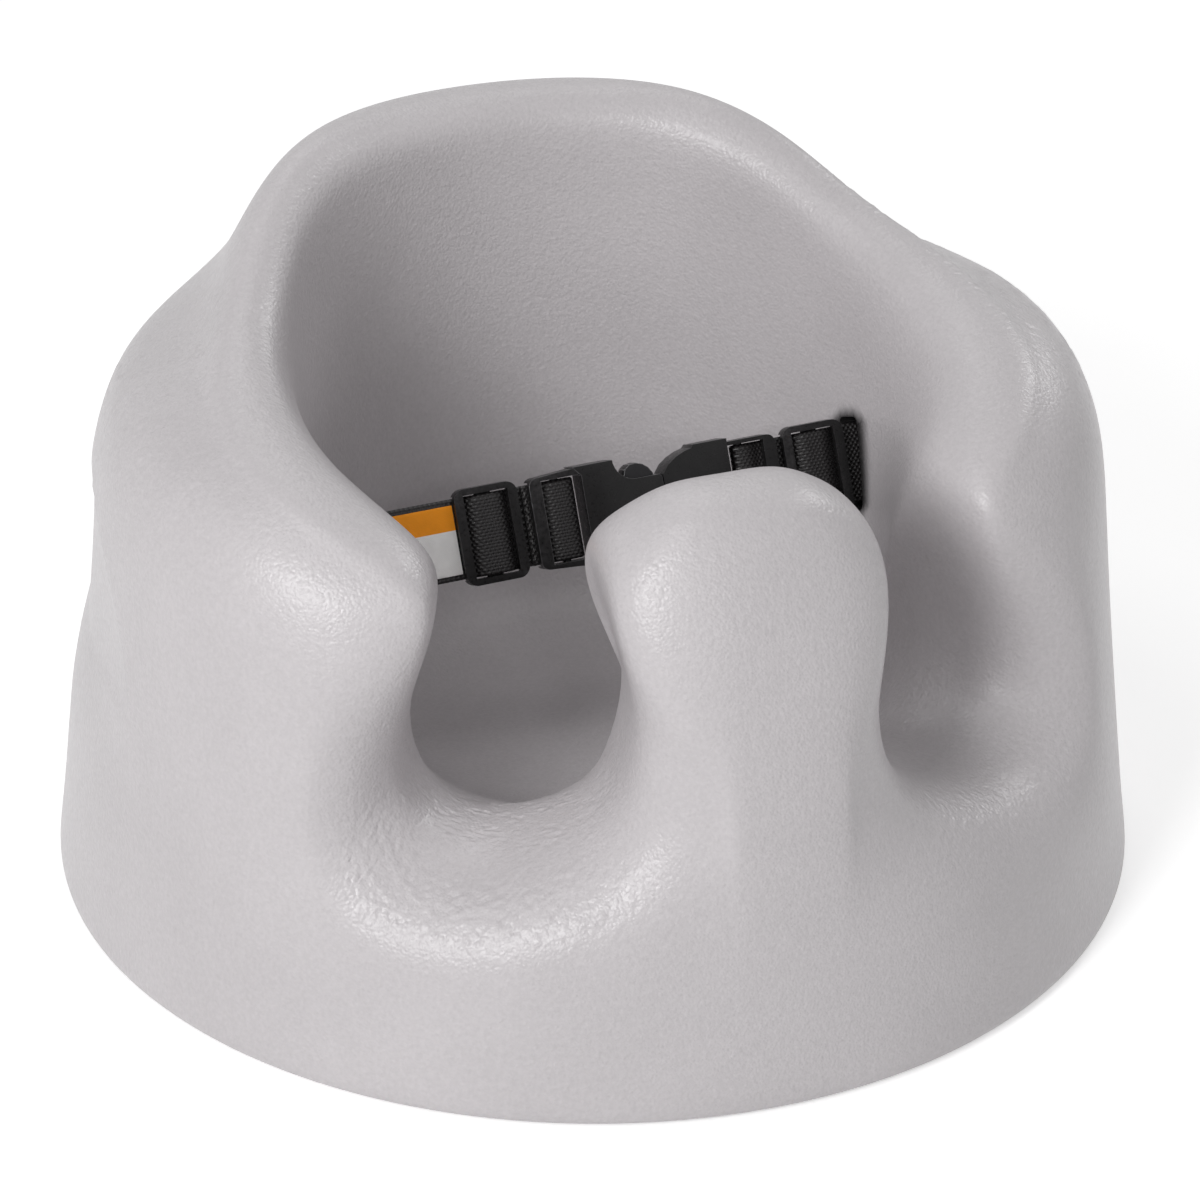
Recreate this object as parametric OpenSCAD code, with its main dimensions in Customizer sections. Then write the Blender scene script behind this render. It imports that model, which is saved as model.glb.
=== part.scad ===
// Moulded foam floor seat for a baby, with a side-release lap belt.
// Millimetres. Z is up, the origin is the middle of the underside, the front faces -Y.

/* [Seat body] */
// Diameter of the round base
base_d = 380; // [350:1:410]
// How far the outer wall leans in for each 100 mm of height
wall_lean = 10.8; // [6:0.1:14]
// Radius of the bowl at the front, at its rim
bowl_r = 101; // [94:1:108]
// How much wider the bowl is at the back
bowl_grow = 2; // [0:0.5:10]
// Radius of the flat seat floor
floor_r = 88; // [80:1:94]
// Height of the seat floor above the ground
floor_h = 42; // [30:1:52]
// Height of the pillar between the legs
pillar_h = 195; // [180:1:205]
// Height of the sill in each leg opening
leg_h = 72; // [62:1:82]
// Height of the arms beside the leg openings
arm_h = 186; // [176:1:194]
// Height of the back rest
back_h = 240; // [222:1:258]
// Direction of each leg opening, in degrees from the front
leg_angle = 38; // [36:0.5:40]
// Radius of the shallow hollow under the base
recess_r = 120; // [90:1:140]
// Depth of the hollow under the base
recess_h = 6; // [3:0.5:12]
// Depth of the hand hollow in each side wall
grip_depth = 4; // [2:0.5:6]

/* [Belt] */
// Height of the belt above the ground
belt_h = 123.6; // [116:0.1:128]
// How far the belt lies behind the middle of the seat
belt_y = 2.7; // [-2:0.1:6]
// How far the belt leans back, in degrees
belt_tilt = 25; // [18:1:32]
// How far the belt rises towards the right, in degrees
belt_rise = 1.3; // [0:0.1:1.5]
// Width of the webbing
web_w = 28; // [24:1:30]
// Thickness of the webbing
web_t = 1.4; // [1.1:0.1:1.5]
// Gap between the webbing and what it passes
soft_gap = 0.3; // [0.2:0.05:0.4]
// How far the sewn flap at the tongue reaches back from its bar
tongue_flap = 13.5; // [10:0.5:13.5]
// How far the sewn flap at the socket reaches back from its bar
socket_flap = 12.7; // [11.5:0.1:13.5]
// Width of the sewn tag, across the webbing
tag_w = 24; // [18:1:26]
// Thickness of the sewn tag
tag_t = 0.6; // [0.4:0.1:0.8]
// Length of the sewn tag
tag_l = 46; // [30:1:47]

/* [Wall slots] */
// Distance from the middle of the seat to the shoulder behind each slot
throat_x = 112; // [110:1:116]
// How deep the pocket behind each shoulder is
pocket_l = 16; // [15:1:20]
// How much the mouth of a slot flares on each side
flare = 4; // [3:0.5:5]
// Thickness of the anchor plate
anchor_t = 2.6; // [2:0.1:3]
// Radius of the anchor bar
anchor_bar_r = 1.8; // [1.6:0.1:2]
// How far the anchor plate overlaps the shoulder at the nearer end of the slot
anchor_lap = 1.6; // [1.2:0.1:2]
// Depth of the anchor plate, across the webbing's face
anchor_d = 16; // [15.4:0.2:16.6]
// Depth of the cheeks that hold the anchor bar
cheek_d = 6; // [5:0.5:8]
// Thickness of the cheeks that hold the anchor bar
cheek_t = 2.4; // [2:0.1:2.8]

/* [Sliders] */
// Length of a slider along the belt
slider_l = 23; // [22.5:0.5:24]
// Width of the two rails beside the webbing
slider_rail = 2.2; // [2:0.1:3]
// Thickness of the end bars of a slider
slider_t = 2.9; // [2.5:0.1:3.3]
// Width of the end bars of a slider
slider_bar = 3.4; // [3:0.1:3.5]
// Width of the middle bar of a slider
slider_mid = 6; // [5:0.1:6.2]
// Thickness of the middle bar of a slider
slider_mid_t = 1.6; // [1.2:0.1:1.8]
// Distance from the middle of the seat to the middle of the left slider
left_slider_x = 38; // [37.5:0.5:44]
// Distance from the middle of the seat to the middle of the right slider
right_slider_x = 84.5; // [84:0.5:86]

/* [Buckle] */
// How far the latch chamber of the socket reaches left of the middle
socket_start = 3.3; // [3:0.1:3.6]
// Length of the socket's latch chamber
socket_l = 29.3; // [28:0.1:30]
// Length of the socket's strap frame
frame_l = 19.3; // [18.9:0.1:19.6]
// Half width of the socket at its mouth
mouth_half = 9.5; // [9:0.1:10]
// Thickness of the buckle
buckle_t = 10; // [9.8:0.1:11]
// Thickness of the buckle's moulded walls
buckle_wall = 1.4; // [1.2:0.1:1.5]
// Width of the rails beside the webbing at the free end of each strap frame
frame_rail = 1.4; // [1.2:0.1:1.8]
// How much wider the latch chamber and the tongue's block are on each side
buckle_step = 1.3; // [1:0.1:1.6]
// Gap between the latch arms, the tongue and the socket
buckle_gap = 0.4; // [0.3:0.05:0.5]
// Radius of the bars that the webbing turns round
web_bar_r = 1.5; // [1.3:0.1:1.6]
// Length of the tongue from the mouth of the socket to its end bar's far edge
tongue_l = 43.1; // [42:0.1:43.5]
// Length of the tongue's solid block and shoulders
block_l = 25.1; // [24:0.1:25.5]
// Width of the tongue's end bar
end_bar = 4.5; // [4:0.1:4.8]
// Thickness of a latch arm
arm_t = 2; // [1.7:0.1:2.2]
// Length of a latch arm from its root to its tip
arm_l = 28.2; // [27.5:0.1:28.5]
// How far a finger pad stands out from the middle of the buckle
pad_half = 14.7; // [13.5:0.1:15]

/* [Hidden] */
base_r = base_d / 2;
foam = "#bdb8ba";
black = "#1d1d1f";

function mix(a, b, t) = a + (b - a) * t;

// ---- seat body: a closed loft through half sections, mirrored about X = 0 ----

// A radius in the ring between the bowl and the base, as a share
function ring(k) = mix(bowl_r, base_r, k);
// The outer wall at a height
function wall_r(z) = base_r - wall_lean * z / 100;
// Turns a drawing angle so that the leg openings point along leg_angle
function turn(a) = a < 38 ? a * leg_angle / 38 : mix(leg_angle, 180, (a - 38) / 142);
// Rim heights on the pillar side, the arm side and the back
function pillar(t) = mix(leg_h, pillar_h, t);
function arm(t) = mix(leg_h, arm_h, t);
function back(t) = mix(arm_h, back_h, t);

// Each row is a half section. Five angles: base, outer lip, crest, inner lip, bowl foot.
// Then the rim height, three heights as shares of the rim height (shoulder, upper wall, lip),
// and five shares of the ring: the same three, the middle of the crest and half its width.
// Last, how far the inner edge of the crest and the lip of the bowl lie below the rim.
stations = [
    [0, 0, 0, 0, 0, pillar(1), 0.64, 0.81, 0.94, 0.81, 0.70, 0.54, 0.26, 0.17, -2, 18],
    [2.5, 4.5, 8, 9, 4, pillar(1), 0.64, 0.81, 0.94, 0.81, 0.70, 0.54, 0.26, 0.17, -2, 18],
    [4, 7, 14, 16.5, 7.5, pillar(0.95), 0.65, 0.82, 0.94, 0.81, 0.70, 0.55, 0.26, 0.17, -2, 18],
    [5.5, 7.5, 23, 28.5, 9.5, pillar(0.83), 0.67, 0.83, 0.95, 0.80, 0.71, 0.55, 0.26, 0.16, -2, 18],
    [7, 7.5, 17, 13.5, 11, pillar(0.55), 0.74, 0.87, 0.95, 0.81, 0.73, 0.59, 0.28, 0.15, -2, 18],
    [9.5, 10.5, 17, 17.5, 13.5, pillar(0.29), 0.78, 0.89, 0.96, 0.84, 0.75, 0.62, 0.31, 0.15, -2, 10],
    [16, 17.5, 20, 21, 20, pillar(0.13), 0.78, 0.89, 0.97, 0.88, 0.79, 0.64, 0.34, 0.15, -2, 10],
    [29, 30, 28.5, 33.5, 33.5, pillar(0.04), 0.78, 0.90, 0.97, 0.88, 0.80, 0.65, 0.35, 0.15, -2, 10],
    [41.5, 42.5, 38.5, 48.5, 48, arm(0), 0.79, 0.90, 0.97, 0.88, 0.79, 0.63, 0.33, 0.15, -2, 10],
    [49, 50, 48.5, 61.5, 60, arm(0.16), 0.82, 0.91, 0.97, 0.84, 0.74, 0.58, 0.30, 0.15, -2, 10],
    [55, 52, 43, 59.5, 65, arm(0.54), 0.77, 0.89, 0.96, 0.81, 0.70, 0.55, 0.28, 0.16, -2, 18],
    [61, 50.5, 37.5, 52, 69, arm(0.81), 0.80, 0.91, 0.97, 0.78, 0.66, 0.54, 0.31, 0.16, -3.5, 34],
    [67, 57, 51, 62, 74, arm(0.93), 0.83, 0.94, 0.98, 0.79, 0.69, 0.55, 0.32, 0.18, -3.5, 34],
    [74, 65, 62, 68, 80, arm(1), 0.86, 0.96, 0.99, 0.82, 0.70, 0.56, 0.34, 0.18, -3.5, 34],
    [83, 79, 78, 79, 88, back(0.13), 0.85, 0.96, 0.99, 0.83, 0.70, 0.48, 0.29, 0.17, -3.5, 34],
    [95, 94, 94, 94, 98, back(0.30), 0.82, 0.93, 0.96, 0.79, 0.69, 0.37, 0.21, 0.14, -2, 32],
    [110, 110, 110, 110, 111, back(0.51), 0.77, 0.87, 0.90, 0.77, 0.65, 0.33, 0.13, 0.11, 6, 22],
    [126, 126, 126, 126, 126, back(0.89), 0.71, 0.79, 0.845, 0.79, 0.65, 0.385, 0.12, 0.105, 13, 30],
    [143, 143, 143, 143, 143, back(1.045), 0.67, 0.76, 0.86, 0.78, 0.63, 0.40, 0.145, 0.115, 10, 26],
    [161, 161, 161, 161, 161, back(0.985), 0.67, 0.78, 0.92, 0.75, 0.61, 0.48, 0.17, 0.15, 3.5, 20],
    [180, 180, 180, 180, 180, back(0.98), 0.67, 0.79, 0.92, 0.75, 0.61, 0.49, 0.17, 0.15, 3.5, 20],
];

// The control points of one half section, from under the base to the seat floor,
// each as angle, radius and height
function section(s) =
    let (b = turn(s[0]), lip = turn(s[1]), top = turn(s[2]), bowl = turn(s[3]), foot = turn(s[4]),
         rim = s[5], sh = s[6] * rim, up = s[7] * rim, edge = s[8] * rim,
         in_r = bowl_r + bowl_grow * s[0] / 180)
    [
        [b, 0, recess_h],
        [b, recess_r, recess_h],
        [b, recess_r + recess_h, 0],
        [b, mix(recess_r, base_r, 0.64), 0],
        [b, base_r - 2, 0],
        [b, base_r + 1, 3],
        [b, wall_r(20), 20],
        [mix(b, lip, 0.25), wall_r(sh * 0.5), sh * 0.5],
        [mix(b, lip, 0.65), (wall_r(sh * 0.82) + ring(s[9]) + 4) / 2, sh * 0.82],
        [lip, ring(s[9]), sh],
        [mix(lip, top, 0.4), ring(s[10]), up],
        [mix(lip, top, 0.8), ring(s[11]), edge],
        [mix(top, lip, 0.1), ring(s[12] + s[13]), rim + 1.5],
        [mix(top, bowl, 0.4), ring(s[12] - s[13]), rim - s[14]],
        [bowl, in_r, rim - s[15]],
        [foot, in_r - 3, (rim + floor_h) / 2],
        [mix(foot, b, 0.5), floor_r + 4, floor_h + 22],
        [b, floor_r * 0.8, floor_h],
        [b, floor_r * 0.4, floor_h],
        [b, 0, floor_h],
    ];

half = [for (s = stations) section(s)];
spans_u = 2 * (len(half) - 1);
spans_v = len(half[0]) - 1;

// A control point of any section, counted round the seat from the front
function control(i, k) =
    let (turns = floor((i + spans_u / 2) / spans_u), j = i - spans_u * turns, p = half[abs(j)][k])
    [(j < 0 ? -p[0] : p[0]) + 360 * turns, p[1], p[2]];

// Weights of the uniform cubic B-spline
function weights(f) =
    [pow(1 - f, 3) / 6, (3 * pow(f, 3) - 6 * f * f + 4) / 6,
     (-3 * pow(f, 3) + 3 * f * f + 3 * f + 1) / 6, pow(f, 3) / 6];

// The control line of the loft at u sections from the front
function line_at(u) =
    let (i = floor(u), w = weights(u - i))
    [for (k = [0 : spans_v])
        w[0] * control(i - 1, k) + w[1] * control(i, k)
        + w[2] * control(i + 1, k) + w[3] * control(i + 2, k)];

// A point of a control line, with both ends of the line on the surface
function held(line, k) =
    k < 0 ? 2 * line[0] - line[1]
    : k > spans_v ? 2 * line[spans_v] - line[spans_v - 1]
    : line[k];
function along(line, v) =
    let (i = min(floor(v), spans_v - 1), w = weights(v - i))
    w[0] * held(line, i - 1) + w[1] * held(line, i) + w[2] * held(line, i + 1)
    + w[3] * held(line, i + 2);

// The hand hollow: a shallow scoop with an arched upper edge in each side wall
function scoop(a, z) =
    let (across = (abs(a) - 104) / 24, lift = (z - 96) / 58, e = across * across + lift * lift)
    grip_depth * (lift < 0 ? max(0, 1 - across * across) * pow(max(0, 1 + lift * 1.6), 2)
                  : e < 1 ? pow(1 - e, 0.5) : 0);
function carved(p, v) = v > 5 && v < 11 ? [p[0], p[1] - scoop(p[0], p[2]), p[2]] : p;
function place(p) = [p[1] * sin(p[0]), -p[1] * cos(p[0]), p[2]];

// How many steps each span of the loft is drawn with
steps_u = [2, 2, 3, 3, 3, 2, 3, 3, 3, 3, 3, 3, 2, 2, 2, 3, 3, 3, 3, 3];
steps_v = [1, 1, 2, 1, 2, 2, 2, 3, 3, 3, 3, 3, 4, 4, 3, 2, 3, 2, 1];
half_u = [for (i = [0 : len(steps_u) - 1], k = [0 : steps_u[i] - 1]) i + k / steps_u[i]];
all_u = concat([for (i = [len(half_u) - 1 : -1 : 1]) -half_u[i]], half_u, [spans_u / 2]);
all_v = concat([for (i = [0 : len(steps_v) - 1], k = [0 : steps_v[i] - 1]) i + k / steps_v[i]],
               [spans_v]);

module loft() {
    n = len(all_u);
    rows = len(all_v);
    ribs = [for (u = all_u) let (line = line_at(u))
        [for (v = all_v) let (q = along(line, v)) place(carved(q, v))]];
    points = concat([[0, 0, recess_h]],
                    [for (r = [1 : rows - 2], i = [0 : n - 1]) ribs[i][r]],
                    [[0, 0, floor_h]]);
    last = len(points) - 1;
    function id(r, i) = 1 + (r - 1) * n + (i % n);
    faces = concat(
        [for (i = [0 : n - 1]) [0, id(1, i), id(1, i + 1)]],
        [for (r = [1 : rows - 3], i = [0 : n - 1], t = [0, 1])
            t == 0 ? [id(r, i), id(r + 1, i), id(r + 1, i + 1)]
                   : [id(r, i), id(r + 1, i + 1), id(r, i + 1)]],
        [for (i = [0 : n - 1]) [last, id(rows - 2, i + 1), id(rows - 2, i)]]);
    polyhedron(points = points, faces = faces, convexity = 10);
}

// ---- the belt lies in its own frame: X along it, Z across it, -Y towards the front ----

module belt() {
    translate([0, belt_y, belt_h]) rotate([-belt_tilt, 0, 0]) rotate([0, -belt_rise, 0]) children();
}
// The two walls keep the same slot, so its frame is the belt's without the slope
module wall() {
    translate([0, belt_y, belt_h]) rotate([-belt_tilt, 0, 0]) children();
}

// Depth of the webbing where it runs straight, and of the middle of the buckle
web_y = -0.1;
buckle_y = web_y - web_t / 2;
// Half the width of an opening that the webbing passes through
slot_half = web_w / 2 + 1;
rail_in = web_w / 2 + 0.6;
// Distance from the middle of a bar to the middle of the webbing that turns round it
loop_r = web_bar_r + soft_gap + web_t / 2;
anchor_r = anchor_bar_r + soft_gap + web_t / 2;
// Half the height of the throat, which lets two layers of webbing through
throat_half = anchor_r + web_t / 2 + 1.1;
// How far the slope of the belt lifts or lowers it at the walls, and half the slot's length
wall_shift = (throat_x + pocket_l) * tan(belt_rise);
wall_half = slot_half + wall_shift;
plate_half = wall_half + wall_shift + anchor_lap;

// A bar along X with rounded long edges
module rounded_bar(x0, x1, hy, hz, r) {
    hull()
        for (y = [-hy + r, hy - r], z = [-hz + r, hz - r])
            translate([x0, buckle_y + y, z]) rotate([0, 90, 0]) cylinder(r = r, h = x1 - x0, $fn = 20);
}

// The slot in one side wall: a flared mouth, the throat, and the pocket behind its shoulder
module wall_slot() {
    wide = throat_half + flare;
    tall = wall_half + flare;
    rounded_bar(84, throat_x + 1, throat_half, wall_half, 1.5);
    hull() {
        rounded_bar(84, 85, wide, tall, throat_half);
        rounded_bar(95, 96, wide, tall, throat_half);
    }
    hull() {
        rounded_bar(95, 96, wide, tall, throat_half);
        rounded_bar(107, 108, throat_half, wall_half, 1.5);
    }
    rounded_bar(throat_x, throat_x + pocket_l, anchor_d / 2 + 1, plate_half + wall_shift + 0.7, 2.5);
}

module seat_body() {
    color(foam)
    difference() {
        loft();
        wall() wall_slot();
        wall() mirror([1, 0, 0]) wall_slot();
    }
}

// The anchor: a plate too large for the throat, with two cheeks that hold a round bar
anchor_x = throat_x + soft_gap + plate_half * sin(belt_rise);
anchor_bar_x = anchor_x + anchor_t + anchor_r + web_t / 2 + 0.3;

module anchor() {
    reach = anchor_bar_x - anchor_x + anchor_bar_r + 0.8;
    difference() {
        translate([anchor_x, buckle_y - anchor_d / 2, -plate_half])
            cube([anchor_t, anchor_d, 2 * plate_half]);
        translate([anchor_x - 1, buckle_y - throat_half + 0.4, -rail_in])
            cube([anchor_t + 2, 2 * throat_half - 0.8, 2 * rail_in]);
    }
    for (z = [-rail_in - cheek_t, rail_in])
        translate([anchor_x, buckle_y - cheek_d / 2, z]) cube([reach, cheek_d, cheek_t]);
    translate([anchor_bar_x, buckle_y, -rail_in - 1])
        cylinder(r = anchor_bar_r, h = 2 * rail_in + 2, $fn = 48);
}

module left_anchor() {
    color(black) belt() mirror([1, 0, 0]) anchor();
}

module right_anchor() {
    color(black) belt() anchor();
}

// ---- webbing: a path in X and Y, given its thickness and then its width ----

function unit(v) = v / norm(v);
function miter(p, i) =
    let (n = len(p),
         a = unit(p[max(i, 1)] - p[max(i, 1) - 1]),
         b = unit(p[min(i, n - 2) + 1] - p[min(i, n - 2)]),
         m = unit([-a[1] - b[1], a[0] + b[0]]))
    m / (m * [-a[1], a[0]]);
function side(p, d) = [for (i = [0 : len(p) - 1]) p[i] + d * miter(p, i)];
function backwards(p) = [for (i = [len(p) - 1 : -1 : 0]) p[i]];
// Points on an arc round c, from angle a to angle b
function bend(c, r, a, b, n) =
    [for (i = [0 : n]) c + r * [cos(mix(a, b, i / n)), sin(mix(a, b, i / n))]];

module ribbon(path, t, w) {
    translate([0, 0, -w / 2]) linear_extrude(height = w)
        polygon(concat(side(path, t / 2), backwards(side(path, -t / 2))));
}

// A slider's faces: its end bars lie in front of the webbing, its middle bar behind it
slider_back = web_y - web_t / 2 - soft_gap;
slider_front = slider_back - slider_t;
over_y = slider_front + 0.1 + web_t / 2;
mid_loop = slider_mid_t / 2 + 0.2 + web_t / 2;
mid_y = over_y + web_t / 2 + 0.2 + web_t / 2 + mid_loop;
mid_end = slider_mid / 2 - slider_mid_t / 2;
// Half lengths of the stretch over the middle bar and of the stretch between the end bars
over_half = mid_end + mid_loop + 0.5;
under_half = slider_l / 2 - slider_bar - 0.35;

// X here counts from the middle of the seat towards the wall.
// One strap: round the buckle's bar, through the slider, round the anchor bar
// and back to the slider's middle bar
function strap_path(bar_x, slider_x) = concat(
    [[bar_x + 5, mix(buckle_y - loop_r, buckle_y - web_t / 2, 3 / 4.5)],
     [bar_x + 2, buckle_y - loop_r]],
    bend([bar_x, buckle_y], loop_r, 270, 90, 10),
    [[bar_x + 2, buckle_y + loop_r],
     [bar_x + 6.5, web_y],
     [slider_x - under_half, web_y],
     [slider_x - over_half, over_y],
     [slider_x + over_half, over_y],
     [slider_x + under_half, web_y],
     [throat_x - 6, web_y],
     [throat_x + 1, buckle_y - anchor_r]],
    bend([anchor_bar_x, buckle_y], anchor_r, -90, 90, 10),
    [[throat_x + 1, buckle_y + anchor_r],
     [slider_x + slider_l / 2, buckle_y + anchor_r]],
    bend([slider_x - mid_end, mid_y], mid_loop, 90, 270, 8),
    [[slider_x + mid_end, mid_y - mid_loop]]);

// The sewn end of a strap, laid on the stretch beside the buckle
function flap_path(bar_x, flap) =
    [[bar_x + 4.5, mix(buckle_y - loop_r, buckle_y - web_t / 2, 2.5 / 4.5)],
     [bar_x + 6.5, buckle_y - web_t / 2 + 0.05],
     [bar_x + flap, buckle_y - web_t / 2 + 0.05]];

module strap(bar_x, slider_x, flap) {
    ribbon(strap_path(bar_x, slider_x), web_t, web_w);
    ribbon(flap_path(bar_x, flap), web_t, web_w);
}

// Half widths: the free ends of the two strap frames, and the chamber and block
frame_half = rail_in + frame_rail;
socket_half = frame_half + buckle_step;
// The scooped sides of the socket, round the finger pads
scoop_r = socket_half - mouth_half;
scoop_x = socket_l - socket_start - 9.5;
chamber_wall = 1.6;
frame_x = -socket_start - frame_l;
socket_bar_x = frame_x + end_bar + loop_r + web_t / 2 + 3;
tongue_x = socket_l - socket_start + buckle_gap;
window_x = tongue_x + block_l;
tongue_bar_x = window_x + loop_r + web_t / 2 + 2.3;

module left_strap() {
    color(black) belt() mirror([1, 0, 0]) strap(-socket_bar_x, left_slider_x, socket_flap);
}

module right_strap() {
    color(black) belt() strap(tongue_bar_x, right_slider_x, tongue_flap);
}

// The tag is sewn flat on the front of the left strap, between the slider and the wall
module strap_tag() {
    color("orange") belt()
        translate([-left_slider_x - slider_l / 2 - 0.4 - tag_l, web_y - web_t / 2 - tag_t, -tag_w / 2])
            cube([tag_l, tag_t, tag_w]);
}

// ---- sliders ----

// A flat plate with rounded corners, between two depths
module plate(l, h, r, y0, y1) {
    translate([0, y1, 0]) rotate([90, 0, 0]) linear_extrude(height = y1 - y0)
        union() {
            square([l - 2 * r, h], center = true);
            square([l, h - 2 * r], center = true);
            for (x = [-1, 1], z = [-1, 1])
                translate([x * (l / 2 - r), z * (h / 2 - r)]) circle(r = r, $fn = 32);
        }
}

module slider() {
    back = mid_y + slider_mid_t / 2;
    window = slider_l / 2 - slider_bar;
    difference() {
        plate(slider_l, 2 * (rail_in + slider_rail), 4, slider_front, back);
        translate([-window, slider_front - 1, -rail_in])
            cube([2 * window, back - slider_front + 2, 2 * rail_in]);
        translate([-slider_l, slider_back, -rail_in])
            cube([2 * slider_l, back - slider_back + 1, 2 * rail_in]);
    }
    for (x = [-mid_end, mid_end])
        translate([x, mid_y, -rail_in - 1]) cylinder(r = slider_mid_t / 2, h = 2 * rail_in + 2, $fn = 32);
    translate([-mid_end, mid_y - slider_mid_t / 2, -rail_in - 1])
        cube([2 * mid_end, slider_mid_t, 2 * rail_in + 2]);
}

module left_slider() {
    color(black) belt() translate([-left_slider_x, 0, 0]) slider();
}

module right_slider() {
    color(black) belt() translate([right_slider_x, 0, 0]) slider();
}

// ---- buckle: a socket, a tongue and two sprung latch arms ----

// Draws an outline in X and Z, between two depths either side of the buckle's middle
module moulded(outline, y0, y1) {
    translate([0, buckle_y + y1, 0]) rotate([90, 0, 0]) linear_extrude(height = y1 - y0)
        polygon(outline);
}
// An outline and its mirror image below the middle
function both(p) = concat(p, [for (q = backwards(p)) [q[0], -q[1]]]);

half_t = buckle_t / 2;
inside_t = half_t - buckle_wall;
mouth_x = socket_l - socket_start;
// The chamber's outline: a pointed corner over each rail, the scoop, and the mouth
function socket_edge() = concat(
    [[-socket_start, rail_in - 0.6], [-socket_start - 2.7, socket_half]],
    bend([scoop_x, socket_half], scoop_r, 180, 270, 8),
    [[mouth_x - 1, mouth_half], [mouth_x, mouth_half - 1]]);

// A strap frame: rails, the bar the webbing turns round, and an end bar in front of the webbing.
// It reaches from x0, inside the chamber or block, to its free end x1; root is its half width at x0
module strap_frame(x0, x1, root, bar_x) {
    way = sign(x1 - x0);
    far = x1 - way * end_bar;
    front = -half_t + 0.2;
    difference() {
        moulded(both(concat([[x0, root]],
                            [for (p = bend([x1 - way * 3, frame_half - 3], 3, 90, 0, 5))
                                [x1 - way * 3 + way * (p[0] - x1 + way * 3), p[1]]])),
                front, 2.4);
        translate([min(x0, far) - 0.01, buckle_y - half_t - 1, -rail_in])
            cube([abs(far - x0) + 0.02, buckle_t + 2, 2 * rail_in]);
        translate([min(far, x1 + way), buckle_y - web_t - soft_gap, -rail_in])
            cube([end_bar + 1, buckle_t, 2 * rail_in]);
    }
    translate([bar_x, buckle_y, -rail_in - 0.7])
        cylinder(r = web_bar_r, h = 2 * rail_in + 1.4, $fn = 48);
}

module buckle_socket() {
    color(black) belt() {
        // the latch chamber is open at the mouth and at both scoops
        difference() {
            moulded(both(socket_edge()), -half_t, half_t);
            translate([-socket_start + chamber_wall, buckle_y - inside_t, -rail_in + 0.4])
                cube([socket_l, 2 * inside_t, 2 * rail_in - 0.8]);
        }
        // posts at the mouth that catch the finger pads
        for (z = [-mouth_half, mouth_half - 1.1])
            translate([mouth_x - 2.2, buckle_y - inside_t - 0.5, z])
                cube([1.2, 2 * inside_t + 1, 1.1]);
        strap_frame(-socket_start + 1, frame_x, socket_half - 0.1, socket_bar_x);
    }
}

// Where a latch arm is rooted, and how thick the arms are
root_x = tongue_x + 13.8;
arm_z = mouth_half - 1.1 - buckle_gap - arm_t / 2;
knuckle_r = arm_t / 2 + 0.5;
arm_half_t = inside_t - buckle_gap;

module buckle_tongue() {
    step = socket_half - mouth_half;
    cave = mouth_half - 0.9;
    color(black) belt() {
        difference() {
            moulded(both([[tongue_x, mouth_half - 0.4], [tongue_x + 2.4, mouth_half + 0.33 * step],
                          [tongue_x + 5.6, mouth_half + 0.6 * step],
                          [tongue_x + 9, mouth_half + 0.78 * step],
                          [tongue_x + 11.6, mouth_half + 0.86 * step],
                          [tongue_x + 12.6, socket_half], [window_x, socket_half]]), -half_t, half_t);
            // the hollow that the latch arms move in
            translate([tongue_x - 1, buckle_y - inside_t, -cave])
                cube([root_x - tongue_x - 1, 2 * inside_t, 2 * cave]);
            for (s = [-1, 1]) {
                translate([root_x, buckle_y + inside_t, s * arm_z]) rotate([90, 0, 0])
                    cylinder(r = knuckle_r + 0.06, h = 2 * inside_t, $fn = 48);
                translate([root_x - 3, buckle_y - inside_t, s > 0 ? arm_z - 2.2 : -cave])
                    cube([3, 2 * inside_t, cave - arm_z + 2.2]);
            }
        }
        strap_frame(window_x - 1, tongue_x + tongue_l, frame_half, tongue_bar_x);
    }
}

// A latch arm: a knuckle in the tongue, a flat arm and a rounded finger pad at its tip
module latch_arm() {
    tip = root_x - arm_l;
    far = mouth_x - 2.2 - buckle_gap;
    rise = pad_half - arm_z;
    moulded([[root_x, arm_z - arm_t / 2], [root_x, arm_z + arm_t / 2], [far, arm_z + arm_t / 2],
             [far, arm_z + 0.42 * rise], [far - 1.4, arm_z + 0.70 * rise],
             [far - 3.4, arm_z + 0.90 * rise], [far - 5.8, pad_half], [far - 8.2, arm_z + 0.97 * rise],
             [far - 10.2, arm_z + 0.78 * rise], [tip + 0.6, arm_z + 0.5 * rise],
             [tip, arm_z + 0.3 * rise], [tip, arm_z - arm_t / 2 + 0.6],
             [tip + 0.6, arm_z - arm_t / 2]], -arm_half_t, arm_half_t);
    translate([root_x, buckle_y + arm_half_t, arm_z]) rotate([90, 0, 0])
        cylinder(r = knuckle_r, h = 2 * arm_half_t, $fn = 48);
}

module latch_arm_upper() {
    color("#2a2a2d") belt() latch_arm();
}

module latch_arm_lower() {
    color("#2a2a2d") belt() mirror([0, 0, 1]) latch_arm();
}

seat_body();
left_anchor();
right_anchor();
left_strap();
right_strap();
strap_tag();
left_slider();
right_slider();
buckle_socket();
buckle_tongue();
latch_arm_upper();
latch_arm_lower();
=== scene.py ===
import math
import bmesh
import bpy
import numpy as np
from mathutils import Matrix, Vector, noise


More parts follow.
